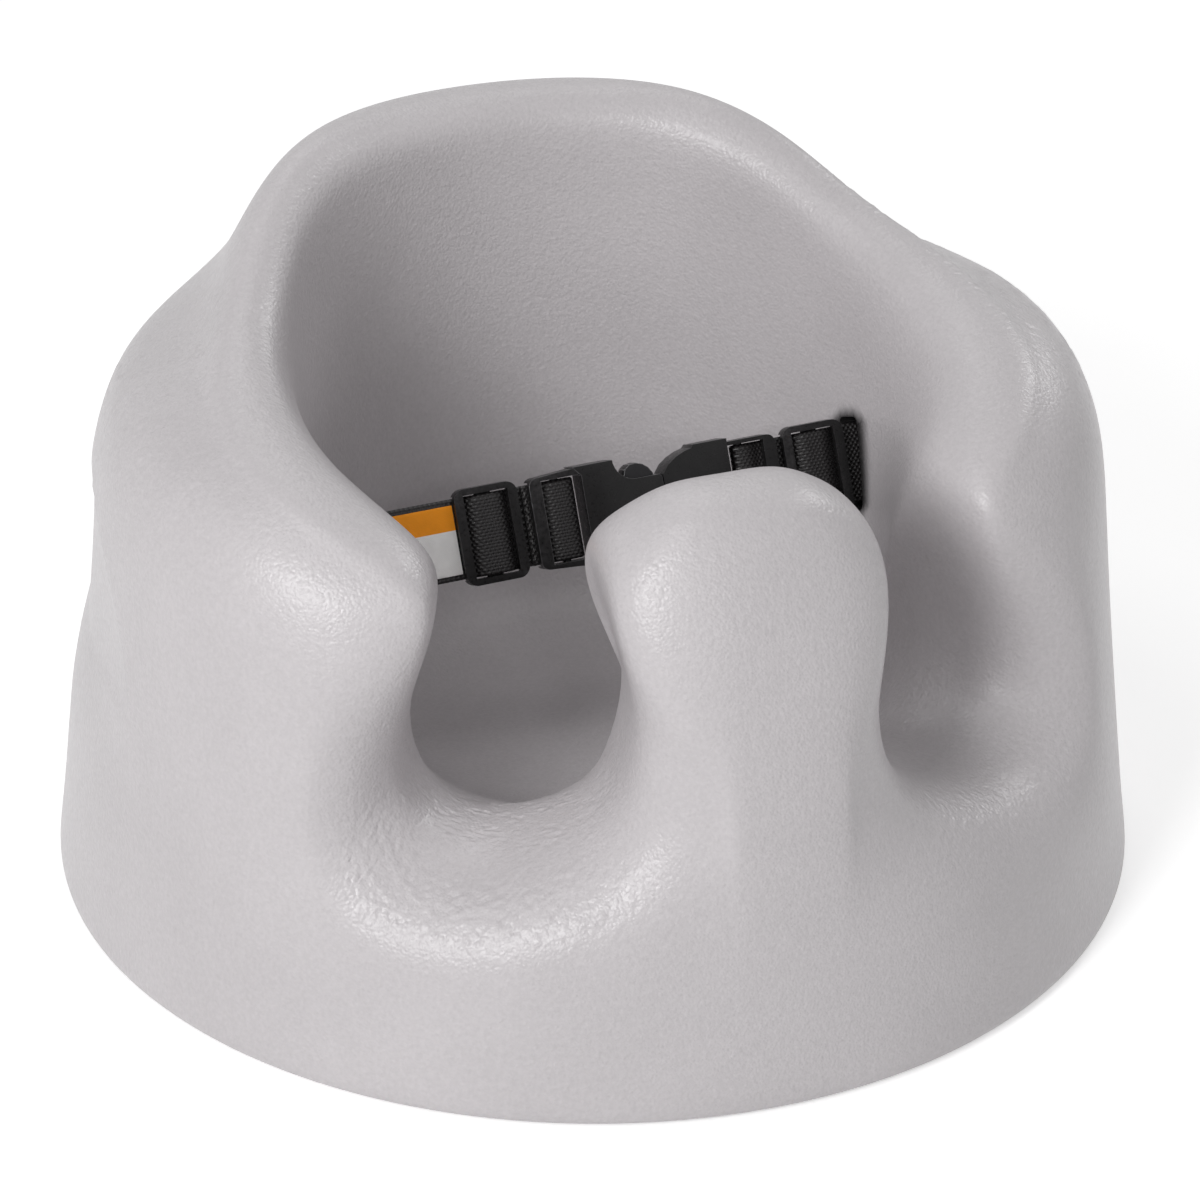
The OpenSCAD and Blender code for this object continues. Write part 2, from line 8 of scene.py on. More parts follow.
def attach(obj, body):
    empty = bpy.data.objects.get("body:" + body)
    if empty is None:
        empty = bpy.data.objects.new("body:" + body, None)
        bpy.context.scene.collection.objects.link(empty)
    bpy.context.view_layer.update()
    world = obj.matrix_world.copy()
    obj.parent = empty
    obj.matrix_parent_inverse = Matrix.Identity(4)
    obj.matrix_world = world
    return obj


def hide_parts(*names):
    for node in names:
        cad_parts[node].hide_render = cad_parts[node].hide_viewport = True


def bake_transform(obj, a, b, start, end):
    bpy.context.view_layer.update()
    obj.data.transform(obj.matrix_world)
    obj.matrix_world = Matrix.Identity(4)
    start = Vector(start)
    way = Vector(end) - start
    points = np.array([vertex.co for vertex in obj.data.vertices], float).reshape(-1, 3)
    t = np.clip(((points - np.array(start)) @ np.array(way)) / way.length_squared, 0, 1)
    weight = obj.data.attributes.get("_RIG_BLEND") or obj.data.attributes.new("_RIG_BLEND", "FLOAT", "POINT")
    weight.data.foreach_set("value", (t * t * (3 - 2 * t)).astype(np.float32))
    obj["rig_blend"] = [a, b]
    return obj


# baby floor seat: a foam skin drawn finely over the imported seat, webbing, tag, sliders and buckle
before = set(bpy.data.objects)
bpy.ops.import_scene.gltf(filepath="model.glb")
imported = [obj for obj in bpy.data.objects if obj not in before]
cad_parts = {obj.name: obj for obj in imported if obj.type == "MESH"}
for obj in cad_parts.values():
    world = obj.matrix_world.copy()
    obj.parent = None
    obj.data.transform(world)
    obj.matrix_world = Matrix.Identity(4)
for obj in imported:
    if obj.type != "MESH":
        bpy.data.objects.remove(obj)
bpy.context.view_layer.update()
print("frame loaded:", len(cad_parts), "nodes")

mm = 0.001


def mix(a, b, t):
    return a + (b - a) * t


def makeObject(name, verts, faces, materials, faceMaterials=None):
    mesh = bpy.data.meshes.new(name)
    mesh.from_pydata([tuple(v) for v in verts], [], [tuple(f) for f in faces])
    for material in materials:
        mesh.materials.append(material)
    if faceMaterials is not None:
        mesh.polygons.foreach_set("material_index", faceMaterials)
    mesh.polygons.foreach_set("use_smooth", [True] * len(mesh.polygons))
    mesh.update()
    piece = bpy.data.objects.new(name, mesh)
    bpy.context.scene.collection.objects.link(piece)
    return piece


def sharpenByAngle(piece, degrees):
    piece.data.polygons.foreach_set("use_smooth", [True] * len(piece.data.polygons))
    piece.data.set_sharp_from_angle(angle=math.radians(degrees))


def addMap(piece, flat):
    # the map that the ribs of the webbing follow: metres along and across the band
    layer = piece.data.uv_layers.new(name="bandMap")
    for loop in piece.data.loops:
        layer.data[loop.index].uv = flat[loop.vertex_index]


def applyModifiers(piece):
    depsgraph = bpy.context.evaluated_depsgraph_get()
    shaped = bpy.data.meshes.new_from_object(piece.evaluated_get(depsgraph))
    piece.modifiers.clear()
    old = piece.data
    piece.data = shaped
    bpy.data.meshes.remove(old)


def settle(piece, body, slotName, *replaced):
    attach(piece, body)
    if replaced:
        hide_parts(*replaced)
    return piece


# settings of the node itself; every other value goes into one of its sockets
nodeSettings = ("operation", "feature", "attribute_name", "node_tree", "uv_map")


def addNode(tree, kind, x, y, **values):
    node = tree.nodes.new(kind)
    node.location = (x, y)
    for key, value in values.items():
        if key in nodeSettings:
            setattr(node, key, value)
        else:
            slot = int(key[5:]) if key.startswith("input") else key.replace("_", " ")
            node.inputs[slot].default_value = value
    return node


def startMaterial(name, color, roughness, specular=0.5):
    material = bpy.data.materials.new(name)
    material.use_nodes = True
    tree = material.node_tree
    shader = tree.nodes["Principled BSDF"]
    shader.location = (600, 0)
    tree.nodes["Material Output"].location = (900, 0)
    shader.inputs["Base Color"].default_value = (*color, 1)
    shader.inputs["Roughness"].default_value = roughness
    shader.inputs["Specular IOR Level"].default_value = specular
    material.diffuse_color = (*color, 1)
    return material, tree, shader


def startGroup(name, inputs, outputs):
    tree = bpy.data.node_groups.new(name, "ShaderNodeTree")
    for label, kind, value in inputs:
        slot = tree.interface.new_socket(name=label, in_out="INPUT", socket_type=kind)
        if value is not None:
            slot.default_value = value
    for label, kind in outputs:
        tree.interface.new_socket(name=label, in_out="OUTPUT", socket_type=kind)
    start = addNode(tree, "NodeGroupInput", -900, 0)
    end = addNode(tree, "NodeGroupOutput", 700, 0)
    return tree, start, end


def placeGroup(tree, group, x, y, **values):
    node = addNode(tree, "ShaderNodeGroup", x, y, node_tree=group)
    for key, value in values.items():
        node.inputs[key.replace("_", " ")].default_value = value
    return node


floatKind, vectorKind = "NodeSocketFloat", "NodeSocketVector"


# fine pebbled grain: small rounded cells broken up by noise
def buildPebbleGrain():
    tree, start, end = startGroup(
        "pebbleGrain",
        [("Vector", vectorKind, None), ("Cell Size", floatKind, 0.0012), ("Irregularity", floatKind, 0.6)],
        [("Height", floatKind), ("Speck", floatKind)])
    scale = addNode(tree, "ShaderNodeMath", -700, -150, operation="DIVIDE", input0=1.0)
    tree.links.new(start.outputs["Cell Size"], scale.inputs[1])
    warp = addNode(tree, "ShaderNodeTexNoise", -500, 150, Detail=2.0)
    tree.links.new(start.outputs["Vector"], warp.inputs["Vector"])
    half = addNode(tree, "ShaderNodeMath", -600, 300, operation="MULTIPLY", input1=0.55)
    tree.links.new(scale.outputs[0], half.inputs[0])
    tree.links.new(half.outputs[0], warp.inputs["Scale"])
    cells = addNode(tree, "ShaderNodeTexVoronoi", -300, -100, feature="SMOOTH_F1", Smoothness=0.6)
    tree.links.new(start.outputs["Vector"], cells.inputs["Vector"])
    tree.links.new(scale.outputs[0], cells.inputs["Scale"])
    invert = addNode(tree, "ShaderNodeMath", -80, -100, operation="SUBTRACT", input0=1.0)
    tree.links.new(cells.outputs["Distance"], invert.inputs[1])
    blend = addNode(tree, "ShaderNodeMix", 150, 0)
    tree.links.new(start.outputs["Irregularity"], blend.inputs["Factor"])
    tree.links.new(invert.outputs[0], blend.inputs["A"])
    tree.links.new(warp.outputs["Fac"], blend.inputs["B"])
    tree.links.new(blend.outputs["Result"], end.inputs["Height"])
    tree.links.new(warp.outputs["Fac"], end.inputs["Speck"])
    return tree


# slow change of tone over a surface
def buildToneDrift():
    tree, start, end = startGroup(
        "toneDrift",
        [("Vector", vectorKind, None), ("Patch Size", floatKind, 0.08), ("Low", floatKind, 0.95),
         ("High", floatKind, 1.05)],
        [("Tone", floatKind)])
    scale = addNode(tree, "ShaderNodeMath", -700, -150, operation="DIVIDE", input0=1.0)
    tree.links.new(start.outputs["Patch Size"], scale.inputs[1])
    clouds = addNode(tree, "ShaderNodeTexNoise", -450, 0, Detail=4.0, Roughness=0.55)
    tree.links.new(start.outputs["Vector"], clouds.inputs["Vector"])
    tree.links.new(scale.outputs[0], clouds.inputs["Scale"])
    spread = addNode(tree, "ShaderNodeMapRange", -200, 0, input1=0.3, input2=0.7)
    tree.links.new(clouds.outputs["Fac"], spread.inputs[0])
    tree.links.new(start.outputs["Low"], spread.inputs[3])
    tree.links.new(start.outputs["High"], spread.inputs[4])
    tree.links.new(spread.outputs[0], end.inputs["Tone"])
    return tree


# where an edge or corner is lighter: partly rubbed wear, partly painted highlight
def buildEdgeWearAndHighlight():
    tree, start, end = startGroup(
        "edgeWearAndHighlight",
        [("Vector", vectorKind, None), ("From", floatKind, 0.52), ("To", floatKind, 0.6),
         ("Breakup", floatKind, 900.0)],
        [("Mask", floatKind)])
    geometry = addNode(tree, "ShaderNodeNewGeometry", -600, 100)
    spread = addNode(tree, "ShaderNodeMapRange", -300, 100)
    tree.links.new(geometry.outputs["Pointiness"], spread.inputs[0])
    tree.links.new(start.outputs["From"], spread.inputs[1])
    tree.links.new(start.outputs["To"], spread.inputs[2])
    clouds = addNode(tree, "ShaderNodeTexNoise", -450, -200, Detail=3.0)
    tree.links.new(start.outputs["Vector"], clouds.inputs["Vector"])
    tree.links.new(start.outputs["Breakup"], clouds.inputs["Scale"])
    chop = addNode(tree, "ShaderNodeMapRange", -200, -200, input1=0.35, input2=0.65)
    tree.links.new(clouds.outputs["Fac"], chop.inputs[0])
    both = addNode(tree, "ShaderNodeMath", 100, 0, operation="MULTIPLY")
    tree.links.new(spread.outputs[0], both.inputs[0])
    tree.links.new(chop.outputs[0], both.inputs[1])
    tree.links.new(both.outputs[0], end.inputs["Mask"])
    return tree


# a woven band: staggered ribs along the webbing, in the band's own map; the gaps between the ribs are darkened with
# painted shade
def buildWovenRibs():
    tree, start, end = startGroup(
        "wovenRibs",
        [("Vector", vectorKind, None), ("Rib Length", floatKind, 0.0018), ("Rib Width", floatKind, 0.0011),
         ("Gap Tone", floatKind, 0.45)],
        [("Height", floatKind), ("Tone", floatKind)])
    split = addNode(tree, "ShaderNodeSeparateXYZ", -750, 0)
    tree.links.new(start.outputs["Vector"], split.inputs[0])
    across = addNode(tree, "ShaderNodeMath", -550, -100, operation="DIVIDE")
    tree.links.new(split.outputs["Y"], across.inputs[0])
    tree.links.new(start.outputs["Rib Width"], across.inputs[1])
    along = addNode(tree, "ShaderNodeMath", -550, 100, operation="DIVIDE")
    tree.links.new(split.outputs["X"], along.inputs[0])
    tree.links.new(start.outputs["Rib Length"], along.inputs[1])
    rowNumber = addNode(tree, "ShaderNodeMath", -380, -250, operation="FLOOR")
    tree.links.new(across.outputs[0], rowNumber.inputs[0])
    stagger = addNode(tree, "ShaderNodeMath", -220, -250, operation="MULTIPLY", input1=0.5)
    tree.links.new(rowNumber.outputs[0], stagger.inputs[0])
    shifted = addNode(tree, "ShaderNodeMath", -60, 100, operation="ADD")
    tree.links.new(along.outputs[0], shifted.inputs[0])
    tree.links.new(stagger.outputs[0], shifted.inputs[1])
    heights = []
    for source, x in ((shifted, 60), (across, -380)):
        share = addNode(tree, "ShaderNodeMath", x + 80, 60, operation="FRACT")
        tree.links.new(source.outputs[0], share.inputs[0])
        turn = addNode(tree, "ShaderNodeMath", x + 160, 60, operation="MULTIPLY", input1=math.pi)
        tree.links.new(share.outputs[0], turn.inputs[0])
        wave = addNode(tree, "ShaderNodeMath", x + 240, 60, operation="SINE")
        tree.links.new(turn.outputs[0], wave.inputs[0])
        heights.append(wave)
    both = addNode(tree, "ShaderNodeMath", 400, 0, operation="MULTIPLY")
    tree.links.new(heights[0].outputs[0], both.inputs[0])
    tree.links.new(heights[1].outputs[0], both.inputs[1])
    tree.links.new(both.outputs[0], end.inputs["Height"])
    # painted shade: the tone falls to the gap tone between the ribs
    tone = addNode(tree, "ShaderNodeMapRange", 520, -150, input4=1.0)
    tree.links.new(both.outputs[0], tone.inputs[0])
    tree.links.new(start.outputs["Gap Tone"], tone.inputs[3])
    tree.links.new(tone.outputs[0], end.inputs["Tone"])
    return tree


pebbleGrain = buildPebbleGrain()
toneDrift = buildToneDrift()
edgeWearAndHighlight = buildEdgeWearAndHighlight()
wovenRibs = buildWovenRibs()


def tinted(tree, color, tones, x, y):
    # a colour multiplied by one or more tone sockets
    last = None
    for i, tone in enumerate(tones):
        times = addNode(tree, "ShaderNodeVectorMath", x + 180 * i, y, operation="MULTIPLY")
        if last is None:
            times.inputs[0].default_value = color
        else:
            tree.links.new(last.outputs[0], times.inputs[0])
        tree.links.new(tone, times.inputs[1])
        last = times
    return last.outputs[0]


# the foam keeps its colour save for random drift, lighter edges (partly wear, partly painted highlight) and painted
# shade round the slots
foamLook = dict(
    color=(0.53, 0.505, 0.517), roughness=0.34, smoother=0.05, rougher=0.07, specular=0.45,
    patch=0.05, patchTones=(0.965, 1.03), speck=0.0016, speckTones=(0.95, 1.045),
    grainSize=0.0011, grainDepth=0.0006, grainStrength=0.55, irregular=0.55,
    edgeFrom=0.505, edgeTo=0.56, edgeBreakup=60.0, edgeWearAndHighlightLift=1.05, slotShadeTone=0.035)


def makeFoamSkin(look):
    material, tree, shader = startMaterial("foamSkin", look["color"], look["roughness"], look["specular"])
    place = addNode(tree, "ShaderNodeTexCoord", -1400, 0)
    low, high = look["patchTones"]
    drift = placeGroup(tree, toneDrift, -900, 300, Patch_Size=look["patch"], Low=low, High=high)
    low, high = look["speckTones"]
    speckle = placeGroup(tree, toneDrift, -900, 520, Patch_Size=look["speck"], Low=low, High=high)
    grain = placeGroup(tree, pebbleGrain, -900, 0, Cell_Size=look["grainSize"], Irregularity=look["irregular"])
    edge = placeGroup(tree, edgeWearAndHighlight, -900, -250, From=look["edgeFrom"], To=look["edgeTo"],
                      Breakup=look["edgeBreakup"])
    for group in (drift, speckle, grain, edge):
        tree.links.new(place.outputs["Object"], group.inputs["Vector"])
    # lighter pointy edges: partly wear, partly painted highlight
    lift = addNode(tree, "ShaderNodeMapRange", -600, -250, input3=1.0, input4=look["edgeWearAndHighlightLift"])
    tree.links.new(edge.outputs["Mask"], lift.inputs[0])
    # painted shade round each slot: the foam is darkened where the slot's mouth lies in shadow
    slot = addNode(tree, "ShaderNodeAttribute", -900, 760, attribute_name="slotPaintedShade")
    slotShadeFactor = addNode(tree, "ShaderNodeMapRange", -600, 760, input3=1.0, input4=look["slotShadeTone"])
    tree.links.new(slot.outputs["Fac"], slotShadeFactor.inputs[0])
    tones = [drift.outputs["Tone"], speckle.outputs["Tone"], lift.outputs[0], slotShadeFactor.outputs[0]]
    tree.links.new(tinted(tree, look["color"], tones, -300, 300), shader.inputs["Base Color"])
    rough = addNode(tree, "ShaderNodeMapRange", -300, 60, input1=0.3, input2=0.7,
                    input3=look["roughness"] - look["smoother"], input4=look["roughness"] + look["rougher"])
    tree.links.new(grain.outputs["Speck"], rough.inputs[0])
    tree.links.new(rough.outputs[0], shader.inputs["Roughness"])
    bump = addNode(tree, "ShaderNodeBump", 200, -300, Strength=look["grainStrength"], Distance=look["grainDepth"])
    tree.links.new(grain.outputs["Height"], bump.inputs["Height"])
    tree.links.new(bump.outputs[0], shader.inputs["Normal"])
    return material


plasticLook = dict(
    color=(0.0095, 0.0090, 0.0094), roughness=0.30, smoother=0.05, rougher=0.08, specular=0.2,
    patch=0.006, driftLow=0.85, driftHigh=1.2, grainSize=0.0007, grainDepth=0.0001, grainStrength=0.25,
    irregular=0.7, edgeFrom=0.53, edgeTo=0.66, edgeBreakup=700.0, edgeWearAndHighlightLift=3.5)
padLook = dict(plasticLook, color=(0.015, 0.0145, 0.016), roughness=0.36, grainSize=0.0005)
# the rounded edges: lighter and glossier plastic, partly wear, partly painted highlight
edgeWearAndHighlightLook = dict(plasticLook, color=(0.06, 0.058, 0.061), roughness=0.16, specular=0.55, driftLow=0.6, driftHigh=1.6)


def makePlastic(name, look):
    material, tree, shader = startMaterial(name, look["color"], look["roughness"], look["specular"])
    place = addNode(tree, "ShaderNodeTexCoord", -1100, 0)
    drift = placeGroup(tree, toneDrift, -800, 300, Patch_Size=look["patch"], Low=look["driftLow"],
                       High=look["driftHigh"])
    grain = placeGroup(tree, pebbleGrain, -800, 0, Cell_Size=look["grainSize"], Irregularity=look["irregular"])
    edge = placeGroup(tree, edgeWearAndHighlight, -800, -250, From=look["edgeFrom"], To=look["edgeTo"],
                      Breakup=look["edgeBreakup"])
    for group in (drift, grain, edge):
        tree.links.new(place.outputs["Object"], group.inputs["Vector"])
    # lighter pointy edges: partly wear, partly painted highlight
    lift = addNode(tree, "ShaderNodeMapRange", -500, -250, input3=1.0, input4=look["edgeWearAndHighlightLift"])
    tree.links.new(edge.outputs["Mask"], lift.inputs[0])
    tones = [drift.outputs["Tone"], lift.outputs[0]]
    tree.links.new(tinted(tree, look["color"], tones, -300, 300), shader.inputs["Base Color"])
    rough = addNode(tree, "ShaderNodeMapRange", -300, 50, input1=0.3, input2=0.7,
                    input3=look["roughness"] - look["smoother"], input4=look["roughness"] + look["rougher"])
    tree.links.new(grain.outputs["Speck"], rough.inputs[0])
    tree.links.new(rough.outputs[0], shader.inputs["Roughness"])
    bump = addNode(tree, "ShaderNodeBump", 200, -200, Strength=look["grainStrength"], Distance=look["grainDepth"])
    tree.links.new(grain.outputs["Height"], bump.inputs["Height"])
    tree.links.new(bump.outputs[0], shader.inputs["Normal"])
    return material


webbingLook = dict(
    color=(0.0085, 0.0070, 0.0075), specular=0.38, sheen=0.03, sheenRoughness=0.4, patch=0.004,
    ribLength=0.0017, ribWidth=0.0011, gapShadeTone=0.7, driftLow=0.9, driftHigh=1.1,
    roughness=0.55, gapRoughness=0.65, topRoughness=0.26, depth=0.00026, strength=0.9)
tapeLook = dict(
    webbingLook, specular=0.3, ribLength=0.0006, ribWidth=0.0005, gapShadeTone=0.95, driftLow=0.95, driftHigh=1.03,
    topRoughness=0.5, depth=0.00008)
threadLook = dict(tapeLook, color=(0.16, 0.155, 0.155), ribWidth=0.0004, gapShadeTone=0.6, depth=0.00015)


def makeWebbing(name, look):
    material, tree, shader = startMaterial(name, look["color"], look["roughness"], look["specular"])
    shader.inputs["Sheen Weight"].default_value = look["sheen"]
    shader.inputs["Sheen Roughness"].default_value = look["sheenRoughness"]
    place = addNode(tree, "ShaderNodeTexCoord", -1100, 200)
    band = addNode(tree, "ShaderNodeUVMap", -1100, -100, uv_map="bandMap")
    ribs = placeGroup(tree, wovenRibs, -800, -100, Rib_Length=look["ribLength"], Rib_Width=look["ribWidth"],
                      Gap_Tone=look["gapShadeTone"])
    tree.links.new(band.outputs[0], ribs.inputs["Vector"])
    drift = placeGroup(tree, toneDrift, -800, 250, Patch_Size=look["patch"], Low=look["driftLow"],
                       High=look["driftHigh"])
    tree.links.new(place.outputs["Object"], drift.inputs["Vector"])
    tones = [drift.outputs["Tone"], ribs.outputs["Tone"]]
    tree.links.new(tinted(tree, look["color"], tones, -400, 250), shader.inputs["Base Color"])
    rough = addNode(tree, "ShaderNodeMapRange", -300, 0, input3=look["gapRoughness"], input4=look["topRoughness"])
    tree.links.new(ribs.outputs["Height"], rough.inputs[0])
    tree.links.new(rough.outputs[0], shader.inputs["Roughness"])
    bump = addNode(tree, "ShaderNodeBump", 200, -200, Strength=look["strength"], Distance=look["depth"])
    tree.links.new(ribs.outputs["Height"], bump.inputs["Height"])
    tree.links.new(bump.outputs[0], shader.inputs["Normal"])
    return material


foamSkin = makeFoamSkin(foamLook)
blackPlastic = makePlastic("blackPlastic", plasticLook)
padPlastic = makePlastic("padPlastic", padLook)
edgeWearAndHighlightPlastic = makePlastic("edgeWearAndHighlightPlastic", edgeWearAndHighlightLook)
webbingCloth = makeWebbing("webbingCloth", webbingLook)
orangeTape = makeWebbing("orangeTape", dict(tapeLook, color=(1.0, 0.34, 0.010)))
whiteTape = makeWebbing("whiteTape", dict(tapeLook, color=(0.94, 0.93, 0.92)))
threadYarn = makeWebbing("threadYarn", threadLook)
print("materials made")


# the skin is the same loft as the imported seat, drawn finely
seat = dict(
    baseRadius=190.0, wallLean=10.8, bowlRadius=101.0, bowlGrow=2.0, floorRadius=88.0, floorHeight=42.0,
    pillarHeight=195.0, legHeight=72.0, armHeight=186.0, backHeight=240.0, legAngle=38.0,
    # the falloff and reach of the painted shade round each slot are given on the next line
    recessRadius=120.0, recessHeight=6.0, slotFlare=1.8, slotPaintedShade=(2.0, 12.0), slotShadeReach=(85, 130),
    # how finely the skin is drawn: steps in each span round the seat and up it, from the front and from below
    fineU=6, fineV=5,
    stepsU=(2, 2, 3, 3, 3, 2, 3, 3, 3, 3, 3, 3, 4, 4, 4, 4, 4, 3, 3, 3),
    stepsV=(1, 1, 2, 1, 2, 2, 2, 3, 3, 3, 3, 3, 4, 4, 3, 2, 3, 2, 1))
tableLegAngle = 38  # where the rows below have the leg opening's wide part
outerLevels = (5, 11)  # the levels of the outer wall, from the foot to the crest


def stationRows(s):
    def pillar(t):
        return mix(s["legHeight"], s["pillarHeight"], t)

    def arm(t):
        return mix(s["legHeight"], s["armHeight"], t)

    def back(t):
        return mix(s["armHeight"], s["backHeight"], t)

    # base, outer lip, crest, inner lip and bowl foot angles; rim height; three height shares; five ring shares;
    # how far the crest's inner edge and the bowl's lip lie below the rim
    return [
        (0, 0, 0, 0, 0, pillar(1), 0.64, 0.81, 0.94, 0.81, 0.70, 0.54, 0.26, 0.17, -2, 18),
        (2.5, 4.5, 8, 9, 4, pillar(1), 0.64, 0.81, 0.94, 0.81, 0.70, 0.54, 0.26, 0.17, -2, 18),
        (4, 7, 14, 16.5, 7.5, pillar(0.95), 0.65, 0.82, 0.94, 0.81, 0.70, 0.55, 0.26, 0.17, -2, 18),
        (5.5, 7.5, 23, 28.5, 9.5, pillar(0.83), 0.67, 0.83, 0.95, 0.80, 0.71, 0.55, 0.26, 0.16, -2, 18),
        (7, 7.5, 17, 13.5, 11, pillar(0.55), 0.74, 0.87, 0.95, 0.81, 0.73, 0.59, 0.28, 0.15, -2, 18),
        (9.5, 10.5, 17, 17.5, 13.5, pillar(0.29), 0.78, 0.89, 0.96, 0.84, 0.75, 0.62, 0.31, 0.15, -2, 10),
        (16, 17.5, 20, 21, 20, pillar(0.13), 0.78, 0.89, 0.97, 0.88, 0.79, 0.64, 0.34, 0.15, -2, 10),
        (29, 30, 28.5, 33.5, 33.5, pillar(0.04), 0.78, 0.90, 0.97, 0.88, 0.80, 0.65, 0.35, 0.15, -2, 10),
        (41.5, 42.5, 38.5, 48.5, 48, arm(0), 0.79, 0.90, 0.97, 0.88, 0.79, 0.63, 0.33, 0.15, -2, 10),
        (49, 50, 48.5, 61.5, 60, arm(0.16), 0.82, 0.91, 0.97, 0.84, 0.74, 0.58, 0.30, 0.15, -2, 10),
        (55, 52, 43, 59.5, 65, arm(0.54), 0.77, 0.89, 0.96, 0.81, 0.70, 0.55, 0.28, 0.16, -2, 18),
        (61, 50.5, 37.5, 52, 69, arm(0.81), 0.80, 0.91, 0.97, 0.78, 0.66, 0.54, 0.31, 0.16, -3.5, 34),
        (67, 57, 51, 62, 74, arm(0.93), 0.83, 0.94, 0.98, 0.79, 0.69, 0.55, 0.32, 0.18, -3.5, 34),
        (74, 65, 62, 68, 80, arm(1), 0.86, 0.96, 0.99, 0.82, 0.70, 0.56, 0.34, 0.18, -3.5, 34),
        (83, 79, 78, 79, 88, back(0.13), 0.85, 0.96, 0.99, 0.83, 0.70, 0.48, 0.29, 0.17, -3.5, 34),
        (95, 94, 94, 94, 98, back(0.30), 0.82, 0.93, 0.96, 0.79, 0.69, 0.37, 0.21, 0.14, -2, 32),
        (110, 110, 110, 110, 111, back(0.51), 0.77, 0.87, 0.90, 0.77, 0.65, 0.33, 0.13, 0.11, 6, 22),
        (126, 126, 126, 126, 126, back(0.89), 0.71, 0.79, 0.845, 0.79, 0.65, 0.385, 0.12, 0.105, 13, 30),
        (143, 143, 143, 143, 143, back(1.045), 0.67, 0.76, 0.86, 0.78, 0.63, 0.40, 0.145, 0.115, 10, 26),
        (161, 161, 161, 161, 161, back(0.985), 0.67, 0.78, 0.92, 0.75, 0.61, 0.48, 0.17, 0.15, 3.5, 20),
        (180, 180, 180, 180, 180, back(0.98), 0.67, 0.79, 0.92, 0.75, 0.61, 0.49, 0.17, 0.15, 3.5, 20),
    ]


def controlNet(s):
    def ring(k):
        return mix(s["bowlRadius"], s["baseRadius"], k)

    def wall(z):
        return s["baseRadius"] - s["wallLean"] * z / 100

    def turn(a):
        if a < tableLegAngle:
            return a * s["legAngle"] / tableLegAngle
        return mix(s["legAngle"], 180, (a - tableLegAngle) / (180 - tableLegAngle))

    net = []
    floor, base = s["floorHeight"], s["baseRadius"]
    for row in stationRows(s):
        b, lip, top, bowl, foot = (turn(a) for a in row[:5])
        rim = row[5]
        shoulder, upper, edge = (share * rim for share in row[6:9])
        kShoulder, kUpper, kEdge, kCrest, kHalf, crestDrop, lipDrop = row[9:]
        inner = s["bowlRadius"] + s["bowlGrow"] * row[0] / 180
        net.append([
            (b, 0, s["recessHeight"]), (b, s["recessRadius"], s["recessHeight"]),
            (b, s["recessRadius"] + s["recessHeight"], 0), (b, mix(s["recessRadius"], base, 0.64), 0),
            (b, base - 2, 0), (b, base + 1, 3), (b, wall(20), 20),
            (mix(b, lip, 0.25), wall(shoulder * 0.5), shoulder * 0.5),
            (mix(b, lip, 0.65), (wall(shoulder * 0.82) + ring(kShoulder) + 4) / 2, shoulder * 0.82),
            (lip, ring(kShoulder), shoulder), (mix(lip, top, 0.4), ring(kUpper), upper),
            (mix(lip, top, 0.8), ring(kEdge), edge), (mix(top, lip, 0.1), ring(kCrest + kHalf), rim + 1.5),
            (mix(top, bowl, 0.4), ring(kCrest - kHalf), rim - crestDrop), (bowl, inner, rim - lipDrop),
            (foot, inner - 3, (rim + floor) / 2), (mix(foot, b, 0.5), s["floorRadius"] + 4, floor + 22),
            (b, s["floorRadius"] * 0.8, floor), (b, s["floorRadius"] * 0.4, floor), (b, 0, floor)])
    half = np.array(net, float)
    mirrored = half[:0:-1].copy()
    mirrored[..., 0] *= -1
    return np.concatenate([mirrored, half[:-1]], 0)


def splineWeights(f):
    # the four shares of a smooth cubic curve's control points
    return ((1 - f) ** 3 / 6, (3 * f ** 3 - 6 * f * f + 4) / 6,
            (-3 * f ** 3 + 3 * f * f + 3 * f + 1) / 6, f ** 3 / 6)


def aroundZ(angle, radius, height):
    # from angles in degrees, counted from the front, and millimetres to places in metres
    rad = np.radians(angle)
    return np.stack([radius * np.sin(rad), -radius * np.cos(rad), height], -1) * mm


def fineSteps(counts, times):
    return np.concatenate([i + np.arange(n * times) / (n * times) for i, n in enumerate(counts)])


def seatGrid(s):
    net = controlNet(s)
    period, levels = len(net), len(s["stepsV"])
    halfU = fineSteps(s["stepsU"], s["fineU"])
    us = np.concatenate([-halfU[:0:-1], halfU, [period / 2]])
    vs = np.append(fineSteps(s["stepsV"], s["fineV"]), levels)
    lines = np.zeros((len(us),) + net.shape[1:])
    whole = np.floor(us).astype(int)
    for k, w in enumerate(splineWeights(us - whole)):
        j = whole - 1 + k + period // 2
        row = net[j % period].copy()
        row[..., 0] += (360 * (j // period))[:, None]
        lines += w[:, None, None] * row
    ends = np.concatenate([2 * lines[:, :1] - lines[:, 1:2], lines, 2 * lines[:, -1:] - lines[:, -2:-1]], 1)
    i = np.minimum(np.floor(vs).astype(int), levels - 1)
    grid = sum(ends[:, i + k] * w[None, :, None] for k, w in enumerate(splineWeights(vs - i)))
    return us, vs, grid


# the hand hollow low in each side wall: a shallow scoop with an arched upper edge
scoop = dict(angle=104, halfAngle=24, height=96, rise=58, fade=1.6, depth=4.0)


def scoopDepth(p, angle, height):
    across = (np.abs(angle) - p["angle"]) / p["halfAngle"]
    lift = (height - p["height"]) / p["rise"]
    below = np.maximum(0, 1 - across ** 2) * np.maximum(0, 1 + lift * p["fade"]) ** 2
    above = np.sqrt(np.maximum(0, 1 - across ** 2 - lift ** 2))
    return p["depth"] * np.where(lift < 0, below, above)


